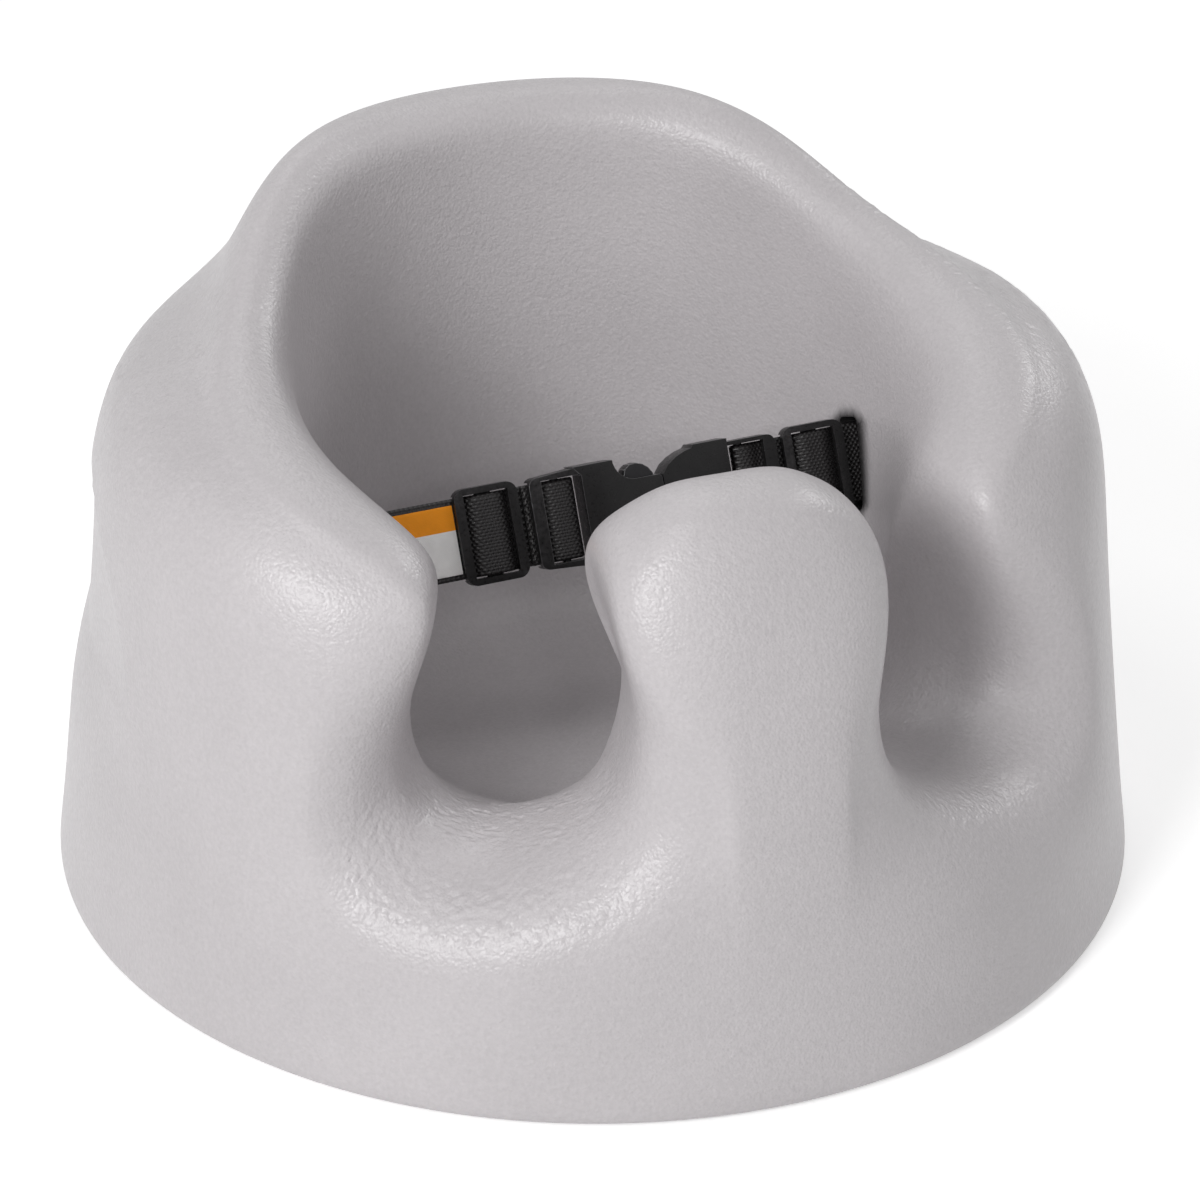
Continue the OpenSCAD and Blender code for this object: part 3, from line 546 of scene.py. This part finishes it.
# the belt has its own frame, in millimetres: X along it to the right, Y through it to the back, Z across it
belt = dict(height=123.6, back=2.7, tilt=25.0, rise=1.3, width=28.0, thick=1.4, gap=0.3, webY=-0.1)
wallMatrix = (Matrix.Translation((0, belt["back"] * mm, belt["height"] * mm))
              @ Matrix.Rotation(math.radians(-belt["tilt"]), 4, "X"))
beltMatrix = wallMatrix @ Matrix.Rotation(math.radians(-belt["rise"]), 4, "Y")
webY = belt["webY"]
buckleY = webY - belt["thick"] / 2

# the anchor behind each slot, and the slot in the wall: throat, mouth and pocket
anchor = dict(throat=112.0, pocket=16.0, plate=2.6, depth=16.0, bar=1.8, lap=1.6)
slotRoom = dict(across=1.0, through=1.1, pocket=0.7, pocketDeep=1.0, start=84, lip=98, bend=101, inside=107,
                throatRound=1.5, bendRound=2.5, lipRound=3)
slotHalf = belt["width"] / 2 + slotRoom["across"]
anchorR = anchor["bar"] + belt["gap"] + belt["thick"] / 2
throatHalf = anchorR + belt["thick"] / 2 + slotRoom["through"]
wallShift = (anchor["throat"] + anchor["pocket"]) * math.tan(math.radians(belt["rise"]))
wallHalf = slotHalf + wallShift
plateHalf = wallHalf + wallShift + anchor["lap"]
anchorX = anchor["throat"] + belt["gap"] + plateHalf * math.sin(math.radians(belt["rise"]))
anchorBarX = anchorX + anchor["plate"] + anchorR + belt["thick"] / 2 + 0.3


def roundedHull(blocks, count=20):
    # the convex hull of rounded outlines at several places along X: x, half height, half width, radius
    mesh = bmesh.new()
    for x, hy, hz, r in blocks:
        for sy in (-1, 1):
            for sz in (-1, 1):
                for k in range(count):
                    a = 2 * math.pi * k / count
                    y = buckleY + sy * (hy - r) + r * math.cos(a)
                    mesh.verts.new((x, y, sz * (hz - r) + r * math.sin(a)))
    bmesh.ops.convex_hull(mesh, input=mesh.verts)
    loose = [v for v in mesh.verts if not v.link_faces]
    bmesh.ops.delete(mesh, geom=loose, context="VERTS")
    return mesh


def slotCutter(side, flare):
    # the throat and its rounded mouth follow the belt's slope, and the pocket behind stands square in the wall
    room = slotRoom
    deep = anchor["throat"] + anchor["pocket"]
    throat = (throatHalf, slotHalf, room["throatRound"])
    lip = (throatHalf + flare, slotHalf + flare, room["lipRound"])
    bend = (throatHalf + 0.6 * flare, slotHalf + 0.6 * flare, room["bendRound"])
    pocket = (anchor["depth"] / 2 + room["pocketDeep"], plateHalf + wallShift + room["pocket"], room["bendRound"])
    parts = [
        (beltMatrix, [(room["start"], *throat), (anchor["throat"] + 1, *throat)]),
        (beltMatrix, [(room["start"], *lip), (room["lip"], *lip), (room["bend"], *bend), (room["inside"], *throat)]),
        (wallMatrix, [(anchor["throat"], *pocket), (deep, *pocket)]),
    ]
    cutters = []
    for place, blocks in parts:
        mesh = roundedHull(blocks)
        mesh.transform(Matrix.Diagonal((side * mm, mm, mm, 1)))
        mesh.transform(place)
        if side < 0:
            bmesh.ops.reverse_faces(mesh, faces=mesh.faces)
        data = bpy.data.meshes.new("cutter")
        mesh.to_mesh(data)
        mesh.free()
        cutter = bpy.data.objects.new("cutter", data)
        bpy.context.scene.collection.objects.link(cutter)
        cutters.append(cutter)
    return cutters


def smoothStep(x, a, b):
    t = np.clip((x - a) / (b - a), 0, 1)
    return t * t * (3 - 2 * t)


def span(x, a, b, c, d):
    # rises from a to b and falls from c to d
    return smoothStep(x, a, b) * (1 - smoothStep(x, c, d))


# the folds in the skin are part of the mesh: ripples on the sills and shoulders, puckers on the sills' outer lips
skinFolds = dict(
    start=0.03, lowest=7, rightStations=11,
    rippleDepth=0.42, rippleLong=5.0, rippleWide=1.2, puckerDepth=0.48, puckerWide=1.15, puckerLong=3.0,
    shoulderDepth=0.9, shoulderWide=1.6, rightShare=0.6, bend=1.1, bendLong=6, bendWide=5, patchLong=13, patchWide=7,
    # the stations, counted from the pillar to the back, and the levels, counted from the base's middle up and over
    # to the bowl's middle, where each kind starts, is full, fades and ends
    rippleStations=(4.4, 5.8, 8.9, 10.2), rippleLevels=(11.2, 12.0, 13.6, 14.6),
    puckerStations=(4.8, 6.4, 8.4, 9.8), puckerLevels=(8.3, 9.5, 10.6, 11.6),
    shoulderStations=(12.6, 14.0, 15.8, 17.2), shoulderLevels=(8.6, 9.8, 12.0, 13.2))


def seatPoint(net, u, v):
    # the seat's surface at any pairs of station and level, in metres
    i, j = np.floor(v).astype(int), np.floor(u).astype(int)
    spot = np.zeros((len(u), 3))
    for k, wu in enumerate(splineWeights(u - j)):
        for m, wv in enumerate(splineWeights(v - i)):
            spot += (wu * wv)[:, None] * net[(j - 1 + k + len(net) // 2) % len(net), i - 1 + m]
    angle, radius, height = spot.T
    return aroundZ(angle, radius - np.where(v < outerLevels[1], scoopDepth(scoop, angle, height), 0), height)


def foldMasks(f, u, v):
    return [span(np.abs(u), *f[kind + "Stations"]) * span(v, *f[kind + "Levels"])
            for kind in ("ripple", "pucker", "shoulder")]


def foldSkin(piece, s, f):
    mesh = bmesh.new()
    mesh.from_mesh(piece.data)
    station, level, along, across = (mesh.verts.layers.float[k] for k in ("station", "level", "along", "across"))
    mesh.verts.index_update()
    known = np.array([(v[station], v[level]) for v in mesh.verts])
    total = np.minimum(sum(foldMasks(f, known[:, 0], known[:, 1])), 1)
    marked = [face for face in mesh.faces if max(total[v.index] for v in face.verts) > f["start"]]
    edges = list({e for face in marked for e in face.edges})
    bmesh.ops.subdivide_edges(mesh, edges=edges, cuts=1, use_grid_fill=True)
    mesh.verts.ensure_lookup_table()
    spots = np.array([(v[station], v[level], v[along], v[across]) for v in mesh.verts])
    ripple, pucker, shoulder = foldMasks(f, spots[:, 0], spots[:, 1])
    chosen = np.nonzero((ripple + pucker + shoulder > 0.001) & (spots[:, 1] > f["lowest"]))[0]
    net = controlNet(s)
    u, v = spots[chosen, 0], spots[chosen, 1]
    place = seatPoint(net, u, v)
    small = 0.01
    alongSlope = seatPoint(net, u + small, v) - seatPoint(net, u - small, v)
    acrossSlope = seatPoint(net, u, v + small) - seatPoint(net, u, v - small)
    normal = np.cross(alongSlope, acrossSlope)
    normal /= np.linalg.norm(normal, axis=1)[:, None]
    for row, i in enumerate(chosen):
        x, y = spots[i, 2] / mm, spots[i, 3] / mm
        bend = f["bend"] * noise.noise((x / f["bendLong"], y / f["bendWide"], 4.0))
        patch = float(smoothStep(noise.noise((x / f["patchLong"], y / f["patchWide"], 9.0)), -0.35, 0.2))
        sillWave = noise.noise((x / f["rippleLong"], y / f["rippleWide"] + bend, 1.0))
        shoulderWave = noise.noise((x / f["shoulderWide"] + bend, y / f["rippleLong"], 2.0))
        lipWave = noise.noise((x / f["puckerWide"] + 0.5 * bend, y / f["puckerLong"], 3.0))
        depth = f["rippleDepth"] * ripple[i] * patch * sillWave
        depth += f["rippleDepth"] * f["shoulderDepth"] * shoulder[i] * patch * shoulderWave
        depth += f["puckerDepth"] * pucker[i] * lipWave
        share = f["rightShare"] if 0 < u[row] < f["rightStations"] else 1
        mesh.verts[i].co = place[row] + normal[row] * depth * share * mm
    mesh.to_mesh(piece.data)
    mesh.free()


def paintSlotShade(piece, s):
    # how much painted shade darkens the foam round each slot's mouth
    spots = np.zeros(len(piece.data.vertices) * 3)
    piece.data.vertices.foreach_get("co", spots)
    local = (spots.reshape(-1, 3) - np.array(beltMatrix.translation)) @ np.array(beltMatrix.to_3x3()) / mm
    sideways = np.maximum(np.abs(local[:, 1] - buckleY) - throatHalf, 0)
    past = sideways + 2 * np.maximum(np.abs(local[:, 2]) - slotHalf, 0)
    near = (np.abs(local[:, 0]) > s["slotShadeReach"][0]) & (np.abs(local[:, 0]) < s["slotShadeReach"][1])
    paintedShadeAmount = (1 - smoothStep(past, *s["slotPaintedShade"])) * near
    piece.data.attributes.new("slotPaintedShade", "FLOAT", "POINT").data.foreach_set("value", paintedShadeAmount.astype(np.float32))


def makeSeat(s):
    us, vs, grid = seatGrid(s)
    angle, radius, height = np.moveaxis(grid, -1, 0)
    outer = (vs > outerLevels[0]) & (vs < outerLevels[1])
    points = aroundZ(angle, radius - np.where(outer[None, :], scoopDepth(scoop, angle, height), 0), height)
    n, rows = points.shape[:2]
    inner = points[:, 1:-1].transpose(1, 0, 2).reshape(-1, 3)
    verts = np.concatenate([[[0, 0, s["recessHeight"] * mm]], inner, [[0, 0, s["floorHeight"] * mm]]])
    last = len(verts) - 1
    ring = np.arange(n)
    faces = [(0, 1 + (i + 1) % n, 1 + i) for i in ring]
    for r in range(rows - 3):
        a = 1 + r * n + ring
        b = 1 + r * n + (ring + 1) % n
        faces += list(zip(a.tolist(), b.tolist(), (b + n).tolist(), (a + n).tolist()))
    top = 1 + (rows - 3) * n
    faces += [(last, top + i, top + (i + 1) % n) for i in ring.tolist()]
    piece = makeObject("seatSkin", verts, faces, [foamSkin])
    # what the folds in the skin need to know at each point
    steps = np.linalg.norm(np.diff(points, axis=1), axis=2)
    across = np.concatenate([np.zeros((n, 1)), np.cumsum(steps, 1)], 1)
    lipRow = int(np.argmin(np.abs(vs - 10)))
    ringSteps = np.linalg.norm(np.diff(points[:, lipRow], axis=0), axis=1)
    along = np.concatenate([[0], np.cumsum(ringSteps)])
    flat = np.ones_like(across)
    known = dict(station=us[:, None] * flat, level=vs[None, :] * flat, along=along[:, None] * flat, across=across)
    for label, values in known.items():
        layer = piece.data.attributes.new(label, "FLOAT", "POINT")
        layer.data.foreach_set("value", np.concatenate([[0], values[:, 1:-1].T.ravel(), [0]]).astype(np.float32))
    for side in (-1, 1):
        for cutter in slotCutter(side, s["slotFlare"]):
            cut = piece.modifiers.new("slot", "BOOLEAN")
            cut.operation = "DIFFERENCE"
            cut.object = cutter
            cut.solver = "EXACT"
    cutters = [m.object for m in piece.modifiers]
    applyModifiers(piece)
    for cutter in cutters:
        bpy.data.objects.remove(cutter)
    foldSkin(piece, s, skinFolds)
    # darken the foam round the slots with painted shade
    paintSlotShade(piece, s)
    sharpenByAngle(piece, 38)
    settle(piece, "seat", "foam_skin", "seat_body")
    return piece


seatSkin = makeSeat(seat)
print("seat skin made:", len(seatSkin.data.polygons), "faces")


# an imported node with its edges rounded; the rounded edges get a lighter, glossier plastic: partly wear, partly
# painted highlight
def roundedNode(node, name, material, width, body, slotName):
    mesh = bmesh.new()
    mesh.from_mesh(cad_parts[node].data)
    bmesh.ops.remove_doubles(mesh, verts=mesh.verts, dist=2e-6)
    bmesh.ops.dissolve_limit(mesh, angle_limit=math.radians(0.6), verts=mesh.verts, edges=mesh.edges)
    hard = [e for e in mesh.edges if len(e.link_faces) == 2 and e.calc_face_angle(0) > math.radians(30)]
    bmesh.ops.bevel(mesh, geom=hard, offset=width * mm, segments=3, profile=0.6, affect="EDGES",
                    clamp_overlap=True, material=1)
    bmesh.ops.triangulate(mesh, faces=[f for f in mesh.faces if len(f.verts) > 4])
    data = bpy.data.meshes.new(name)
    mesh.to_mesh(data)
    mesh.free()
    data.materials.append(material)
    data.materials.append(edgeWearAndHighlightPlastic)
    piece = bpy.data.objects.new(name, data)
    bpy.context.scene.collection.objects.link(piece)
    sharpenByAngle(piece, 34)
    return settle(piece, body, slotName, node)


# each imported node: name, material, rounding in millimetres and body
mouldings = dict(
    buckle_socket=("buckleSocket", blackPlastic, 0.45, "socket"),
    buckle_tongue=("buckleTongue", blackPlastic, 0.5, "seat"),
    latch_arm_upper=("latchArmUpper", padPlastic, 0.5, "upper_latch"),
    latch_arm_lower=("latchArmLower", padPlastic, 0.5, "lower_latch"),
    left_slider=("leftSlider", blackPlastic, 0.95, "left_slider"),
    right_slider=("rightSlider", blackPlastic, 0.95, "right_slider"),
    left_anchor=("leftAnchor", blackPlastic, 0.4, "seat"),
    right_anchor=("rightAnchor", blackPlastic, 0.4, "seat"),
)
for node, (name, material, width, body) in mouldings.items():
    roundedNode(node, name, material, width, body, "black_plastic")
print("moulded parts rounded")


def arc(middle, radius, first, last, steps):
    turns = [math.radians(mix(first, last, i / steps)) for i in range(steps + 1)]
    return [(middle[0] + radius * math.cos(a), middle[1] + radius * math.sin(a)) for a in turns]


def evenPath(points, rounding, step):
    # rounds the corners of a path, then spaces its points evenly
    pts = np.array(points, float)
    for _ in range(rounding):
        q = 0.75 * pts[:-1] + 0.25 * pts[1:]
        r = 0.25 * pts[:-1] + 0.75 * pts[1:]
        pts = np.concatenate([[pts[0]], np.stack([q, r], 1).reshape(-1, 2), [pts[-1]]])
    run = np.concatenate([[0], np.cumsum(np.linalg.norm(np.diff(pts, axis=0), axis=1))])
    count = max(4, int(run[-1] / step))
    at = np.linspace(0, run[-1], count + 1)
    return np.stack([np.interp(at, run, pts[:, 0]), np.interp(at, run, pts[:, 1])], 1), at


def makeBand(name, points, side, thick, width, material, rounding=2, step=0.7, ribs=14):
    # a flat band along a path in the belt's frame, with soft rolled edges
    path, run = evenPath(points, rounding, step)
    tangent = np.gradient(path, axis=0)
    tangent /= np.linalg.norm(tangent, axis=1)[:, None]
    normal = np.stack([-tangent[:, 1], tangent[:, 0]], 1)
    half, edge = thick / 2, width / 2
    acrossLine = np.linspace(-1, 1, ribs + 1) * (edge - half * 0.8)
    low, rolled = half * 0.6, edge - half * 0.2
    profile = [(half, z) for z in acrossLine] + [(low, rolled), (0, edge), (-low, rolled)]
    profile += [(-half, z) for z in acrossLine[::-1]] + [(-low, -rolled), (0, -edge), (low, -rolled)]
    m = len(profile)
    verts, flat = [], []
    for p, nrm, u in zip(path, normal, run):
        for d, z in profile:
            q = p + nrm * d
            verts.append(beltMatrix @ Vector((side * q[0] * mm, q[1] * mm, z * mm)))
            flat.append((u * mm, z * mm))
    faces = []
    for i in range(len(path) - 1):
        for k in range(m):
            a, b = i * m + k, i * m + (k + 1) % m
            faces.append((a, b, b + m, a + m) if side < 0 else (a, a + m, b + m, b))
    ends = [tuple(range(m)), tuple((len(path) - 1) * m + k for k in range(m))]
    faces.append(ends[0][::-1] if side < 0 else ends[0])
    faces.append(ends[1] if side < 0 else ends[1][::-1])
    piece = makeObject(name, verts, faces, [material])
    addMap(piece, flat)
    sharpenByAngle(piece, 60)
    return piece


buckle = dict(start=3.3, length=29.3, frame=19.3, endBar=4.5, bar=1.5, gap=0.4, block=25.1,
              socketFlap=12.7, tongueFlap=13.5, socketSlack=3.4, tongueSlack=0.0)
slider = dict(length=23.0, bar=3.4, thick=2.9, middle=6.0, middleThick=1.6, leftX=38.0, rightX=84.5)
loopR = buckle["bar"] + belt["gap"] + belt["thick"] / 2
socketBarX = -buckle["start"] - buckle["frame"] + buckle["endBar"] + loopR + belt["thick"] / 2 + 3
windowX = buckle["length"] - buckle["start"] + buckle["gap"] + buckle["block"]
tongueBarX = windowX + loopR + belt["thick"] / 2 + 2.3
sliderBack = webY - belt["thick"] / 2 - belt["gap"]
sliderFront = sliderBack - slider["thick"]
overY = sliderFront + 0.1 + belt["thick"] / 2
midLoop = slider["middleThick"] / 2 + 0.2 + belt["thick"] / 2
midY = overY + belt["thick"] + 0.2 + midLoop
midEnd = slider["middle"] / 2 - slider["middleThick"] / 2
overHalf = midEnd + midLoop + 0.5
underHalf = slider["length"] / 2 - slider["bar"] - 0.35


def strapPath(barX, sliderX, flap, slack):
    # counts X from the middle of the seat towards the wall; the loop round the bar hangs a little loose
    front = buckleY - belt["thick"] / 2
    bend = [(x - slack * max(0, (barX - x) / loopR) ** 0.6, y) for x, y in arc((barX, buckleY), loopR, 270, 90, 14)]
    throat = anchor["throat"]
    return ([(barX + flap, front), (barX + 7.5, front), (barX + 6, front - 0.2), (barX + 2.4, buckleY - loopR)]
            + bend + [(barX + 2, buckleY + loopR), (barX + 6.5, webY)]
            + [(sliderX, webY), (throat - 8, webY), (throat + 1, buckleY - anchorR)]
            + arc((anchorBarX, buckleY), anchorR, -90, 90, 12)
            + [(throat + 1, buckleY + anchorR), (sliderX + 5, buckleY + anchorR)])


def crossingPath(sliderX):
    # over the middle bar of a slider
    steps = ((-underHalf - 2.5, webY), (-underHalf, webY), (-overHalf, overY), (0, overY),
             (overHalf, overY), (underHalf, webY), (underHalf + 2.5, webY))
    return [(sliderX + x, y) for x, y in steps]


def returnPath(sliderX):
    # the sewn end round the middle bar
    back = buckleY + anchorR
    return ([(sliderX + slider["length"] / 2 - 1, back), (sliderX + 4, mix(back, midY + midLoop, 0.7))]
            + arc((sliderX - midEnd, midY), midLoop, 90, 270, 10) + [(sliderX + midEnd, midY - midLoop)])


def makeStrap(sideName, side, barX, sliderX, flap, slack):
    # the parts that go with the slider differ a hair in width and thickness, so that no two faces lie in one plane
    thick, width = belt["thick"], belt["width"]
    band = makeBand(sideName + "StrapBand", strapPath(barX, sliderX, flap, slack), side, thick, width, webbingCloth)
    crossing = makeBand(sideName + "StrapCrossing", crossingPath(sliderX), side, thick * 1.02, width + 0.05,
                        webbingCloth, rounding=2, step=0.4)
    loop = makeBand(sideName + "StrapLoop", returnPath(sliderX), side, thick * 0.98, width - 0.05,
                    webbingCloth, rounding=1, step=0.4)
    for piece in (crossing, loop):
        settle(piece, sideName + "_slider", "webbing")
    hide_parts(sideName + "_strap")
    return band


leftBand = makeStrap("left", -1, -socketBarX, slider["leftX"], buckle["socketFlap"], buckle["socketSlack"])
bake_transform(leftBand, "seat", "socket", start=(-0.1, 0.0018, 0.1216), end=(-0.05, 0.0022, 0.1226))
rightBand = makeStrap("right", 1, tongueBarX, slider["rightX"], buckle["tongueFlap"], buckle["tongueSlack"])
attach(rightBand, "seat")
print("webbing made")


tag = dict(length=46.0, width=24.0, thick=0.6, orangeShare=0.36, sliderGap=0.4, edge=0.3, lowEdge=0.25,
           columns=60, rows=17, puff=0.06)


def makeTag(t):
    right = -slider["leftX"] - slider["length"] / 2 - t["sliderGap"]
    columns = np.linspace(right - t["length"], right, t["columns"])
    backFace = webY - belt["thick"] / 2
    front, half = backFace - t["thick"], t["width"] / 2
    lower = front + t["lowEdge"]
    split = mix(half, -half, t["orangeShare"])
    even = np.round(np.linspace(-half + t["edge"], half - t["edge"], t["rows"]), 3).tolist()
    rows = sorted(set(even + [round(split, 3)]))
    profile = [(front, z) for z in rows] + [(lower, half), (backFace, half)]
    profile += [(backFace, z) for z in rows[::-1]] + [(backFace, -half), (lower, -half)]
    m = len(profile)
    verts, flat = [], []
    for x in columns:
        puff = t["puff"] * math.sin(x * 0.55) * math.sin(x * 0.21 + 1)
        for y, z in profile:
            verts.append(beltMatrix @ Vector((x * mm, (y + (puff if y == front else 0)) * mm, z * mm)))
            flat.append((x * mm, z * mm))
    faces, kinds = [], []
    for i in range(len(columns) - 1):
        for k in range(m):
            a, b = i * m + k, i * m + (k + 1) % m
            faces.append((a, a + m, b + m, b))
            middle = (profile[k][1] + profile[(k + 1) % m][1]) / 2
            kinds.append(0 if middle > split else 1)
    faces += [tuple(range(m)), tuple((len(columns) - 1) * m + k for k in range(m))[::-1]]
    kinds += [1, 1]
    piece = makeObject("strapTag", verts, faces, [orangeTape, whiteTape], faceMaterials=kinds)
    addMap(piece, flat)
    sharpenByAngle(piece, 50)
    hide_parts("strap_tag")
    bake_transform(piece, "seat", "socket", start=(-0.1, 0.0018, 0.1216), end=(-0.05, 0.0022, 0.1226))
    return piece


makeTag(tag)
print("tag made")


stitch = dict(length=1.9, gap=0.9, radius=0.24, rowHalf=12.6, socketRow=-23.6, tongueInset=2.2)
# places along a stitch, and how thick it is and how deep it lies there
stitchShape = ((-0.5, 0.35, 0.32), (-0.42, 0.75, 0.12), (-0.25, 1, 0), (0, 1.08, -0.03),
               (0.25, 1, 0), (0.42, 0.75, 0.12), (0.5, 0.35, 0.32))


def makeStitches(name, spots, material):
    # short rounded threads: each spot is a middle point and a direction in the belt's frame
    verts, faces, flat = [], [], []
    sides, rings = 6, len(stitchShape)
    for (x, y, z), (dx, dz), length in spots:
        start = len(verts)
        for t, swell, dip in stitchShape:
            along, r = t * length, stitch["radius"] * swell
            for k in range(sides):
                a = 2 * math.pi * k / sides
                side = r * math.cos(a)
                spot = Vector((x + dx * along - dz * side, y + dip - r * math.sin(a), z + dz * along + dx * side))
                verts.append(beltMatrix @ (spot * mm))
                flat.append((along * mm, side * mm))
        for i in range(rings - 1):
            for k in range(sides):
                a, b = start + i * sides + k, start + i * sides + (k + 1) % sides
                faces.append((a, a + sides, b + sides, b))
        faces.append(tuple(start + k for k in range(sides)))
        faces.append(tuple(start + (rings - 1) * sides + k for k in range(sides))[::-1])
    piece = makeObject(name, verts, faces, [material])
    addMap(piece, flat)
    return piece


def acrossRow(x, y, half):
    pitch = stitch["length"] + stitch["gap"]
    count = int(2 * half / pitch)
    return [((x, y, (i - (count - 1) / 2) * pitch), (0, 1), stitch["length"]) for i in range(count)]


flapFace = buckleY - belt["thick"]
socketRow = acrossRow(stitch["socketRow"], flapFace, stitch["rowHalf"])
socketStitches = makeStitches("socketFlapStitches", socketRow, threadYarn)
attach(socketStitches, "socket")
tongueRow = acrossRow(tongueBarX + buckle["tongueFlap"] - stitch["tongueInset"], flapFace, stitch["rowHalf"])
tongueStitches = makeStitches("tongueFlapStitches", tongueRow, threadYarn)
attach(tongueStitches, "seat")
print("stitching made")


stage = dict(size=6.0, tone=(0.9, 0.9, 0.9), roughness=0.9, specular=0.1, patch=0.7, patchLow=0.985, glow=0.45,
             room=0.28, backdrop=1.0)
white = (1, 1, 1, 1)


# rays that see the white room: from the camera, by a reflection or through something clear
def placeSeenRays(tree, x, y):
    paths = addNode(tree, "ShaderNodeLightPath", x, y)
    seen = paths.outputs["Is Camera Ray"]
    for i, ray in enumerate(("Is Glossy Ray", "Is Transmission Ray")):
        either = addNode(tree, "ShaderNodeMath", x + 200 * (i + 1), y, operation="MAXIMUM")
        tree.links.new(seen, either.inputs[0])
        tree.links.new(paths.outputs[ray], either.inputs[1])
        seen = either.outputs[0]
    return seen


def makeStage():
    material, tree, shader = startMaterial("paleFloor", stage["tone"], stage["roughness"], stage["specular"])
    place = addNode(tree, "ShaderNodeTexCoord", -900, 0)
    drift = placeGroup(tree, toneDrift, -600, 0, Patch_Size=stage["patch"], Low=stage["patchLow"], High=1.0)
    tree.links.new(place.outputs["Object"], drift.inputs["Vector"])
    tree.links.new(tinted(tree, stage["tone"], [drift.outputs["Tone"]], -300, 0), shader.inputs["Base Color"])
    # the floor glows a little for those rays, so its lit part is white and its shadow stays grey
    glow = addNode(tree, "ShaderNodeEmission", 600, 200, Color=white, Strength=stage["glow"])
    both = addNode(tree, "ShaderNodeAddShader", 780, 100)
    tree.links.new(shader.outputs[0], both.inputs[0])
    tree.links.new(glow.outputs[0], both.inputs[1])
    choice = addNode(tree, "ShaderNodeMixShader", 900, -50)
    tree.links.new(placeSeenRays(tree, 100, 400), choice.inputs[0])
    tree.links.new(shader.outputs[0], choice.inputs[1])
    tree.links.new(both.outputs[0], choice.inputs[2])
    tree.links.new(choice.outputs[0], tree.nodes["Material Output"].inputs["Surface"])
    size = stage["size"]
    corners = [(-size, -size, 0), (size, -size, 0), (size, size, 0), (-size, size, 0)]
    floor = makeObject("floor", corners, [(0, 1, 2, 3)], [material])


def makeWorld():
    world = bpy.data.worlds.new("softRoom")
    bpy.context.scene.world = world
    world.use_nodes = True
    tree = world.node_tree
    tree.nodes.clear()
    room = addNode(tree, "ShaderNodeBackground", -200, 0, Color=white, Strength=stage["room"])
    backdrop = addNode(tree, "ShaderNodeBackground", -200, -150, Color=white, Strength=stage["backdrop"])
    choice = addNode(tree, "ShaderNodeMixShader", 100, 0)
    tree.links.new(placeSeenRays(tree, -800, 200), choice.inputs[0])
    tree.links.new(room.outputs[0], choice.inputs[1])
    tree.links.new(backdrop.outputs[0], choice.inputs[2])
    end = addNode(tree, "ShaderNodeOutputWorld", 300, 0)
    tree.links.new(choice.outputs[0], end.inputs[0])


lamps = dict(
    key=dict(at=(-1.42, -1.12, 1.1), size=0.75, power=22.5),
    low=dict(at=(-0.37, -1.76, 0.98), size=0.16, power=2.2),
    fill=dict(at=(1.6, -1.4, 0.9), size=1.2, power=2.6),
    high=dict(at=(-0.75, -0.2, 1.75), size=0.6, power=3.5),
    top=dict(at=(0.3, 1.2, 1.7), size=0.8, power=3.0),
    side=dict(at=(1.5, 0.7, 1.3), size=0.5, power=6.0),
)


def makeLamps():
    for name, lamp in lamps.items():
        data = bpy.data.lights.new(name + "Lamp", "AREA")
        data.shape = "SQUARE"
        data.size = lamp["size"]
        data.energy = lamp["power"]
        lampObject = bpy.data.objects.new(name + "Lamp", data)
        bpy.context.scene.collection.objects.link(lampObject)
        lampObject.location = lamp["at"]
        aim = Vector((0, 0, 0.1)) - Vector(lamp["at"])
        lampObject.rotation_euler = aim.to_track_quat("-Z", "Y").to_euler()


# focus and centre are counted in pixels of the photograph's frame
shot = dict(azimuth=-21.0, elevation=28.0, distance=1.5, focus=4300.0, targetHeight=0.10, centre=(594, 577), roll=0.3,
            frame=1200, sensor=36)


def makeCamera():
    az, el, roll = (math.radians(shot[k]) for k in ("azimuth", "elevation", "roll"))
    back = Vector((math.sin(az) * math.cos(el), -math.cos(az) * math.cos(el), math.sin(el)))
    right = Vector((math.cos(az), math.sin(az), 0))
    up = back.cross(right)
    rolledRight = right * math.cos(roll) + up * math.sin(roll)
    rolledUp = up * math.cos(roll) - right * math.sin(roll)
    data = bpy.data.cameras.new("photoCamera")
    size, middle = shot["frame"], shot["frame"] / 2
    data.sensor_width = shot["sensor"]
    data.lens = shot["focus"] / size * shot["sensor"]
    data.shift_x = -(shot["centre"][0] - middle) / size
    data.shift_y = (shot["centre"][1] - middle) / size
    camera = bpy.data.objects.new("photoCamera", data)
    bpy.context.scene.collection.objects.link(camera)
    place = Matrix((rolledRight, rolledUp, back)).transposed().to_4x4()
    place.translation = Vector((0, 0, shot["targetHeight"])) + back * shot["distance"]
    camera.matrix_world = place
    bpy.context.scene.camera = camera


makeStage()
makeWorld()
makeLamps()
makeCamera()
bpy.context.scene.view_settings.view_transform = "Standard"
print("stage, lamps and camera set")
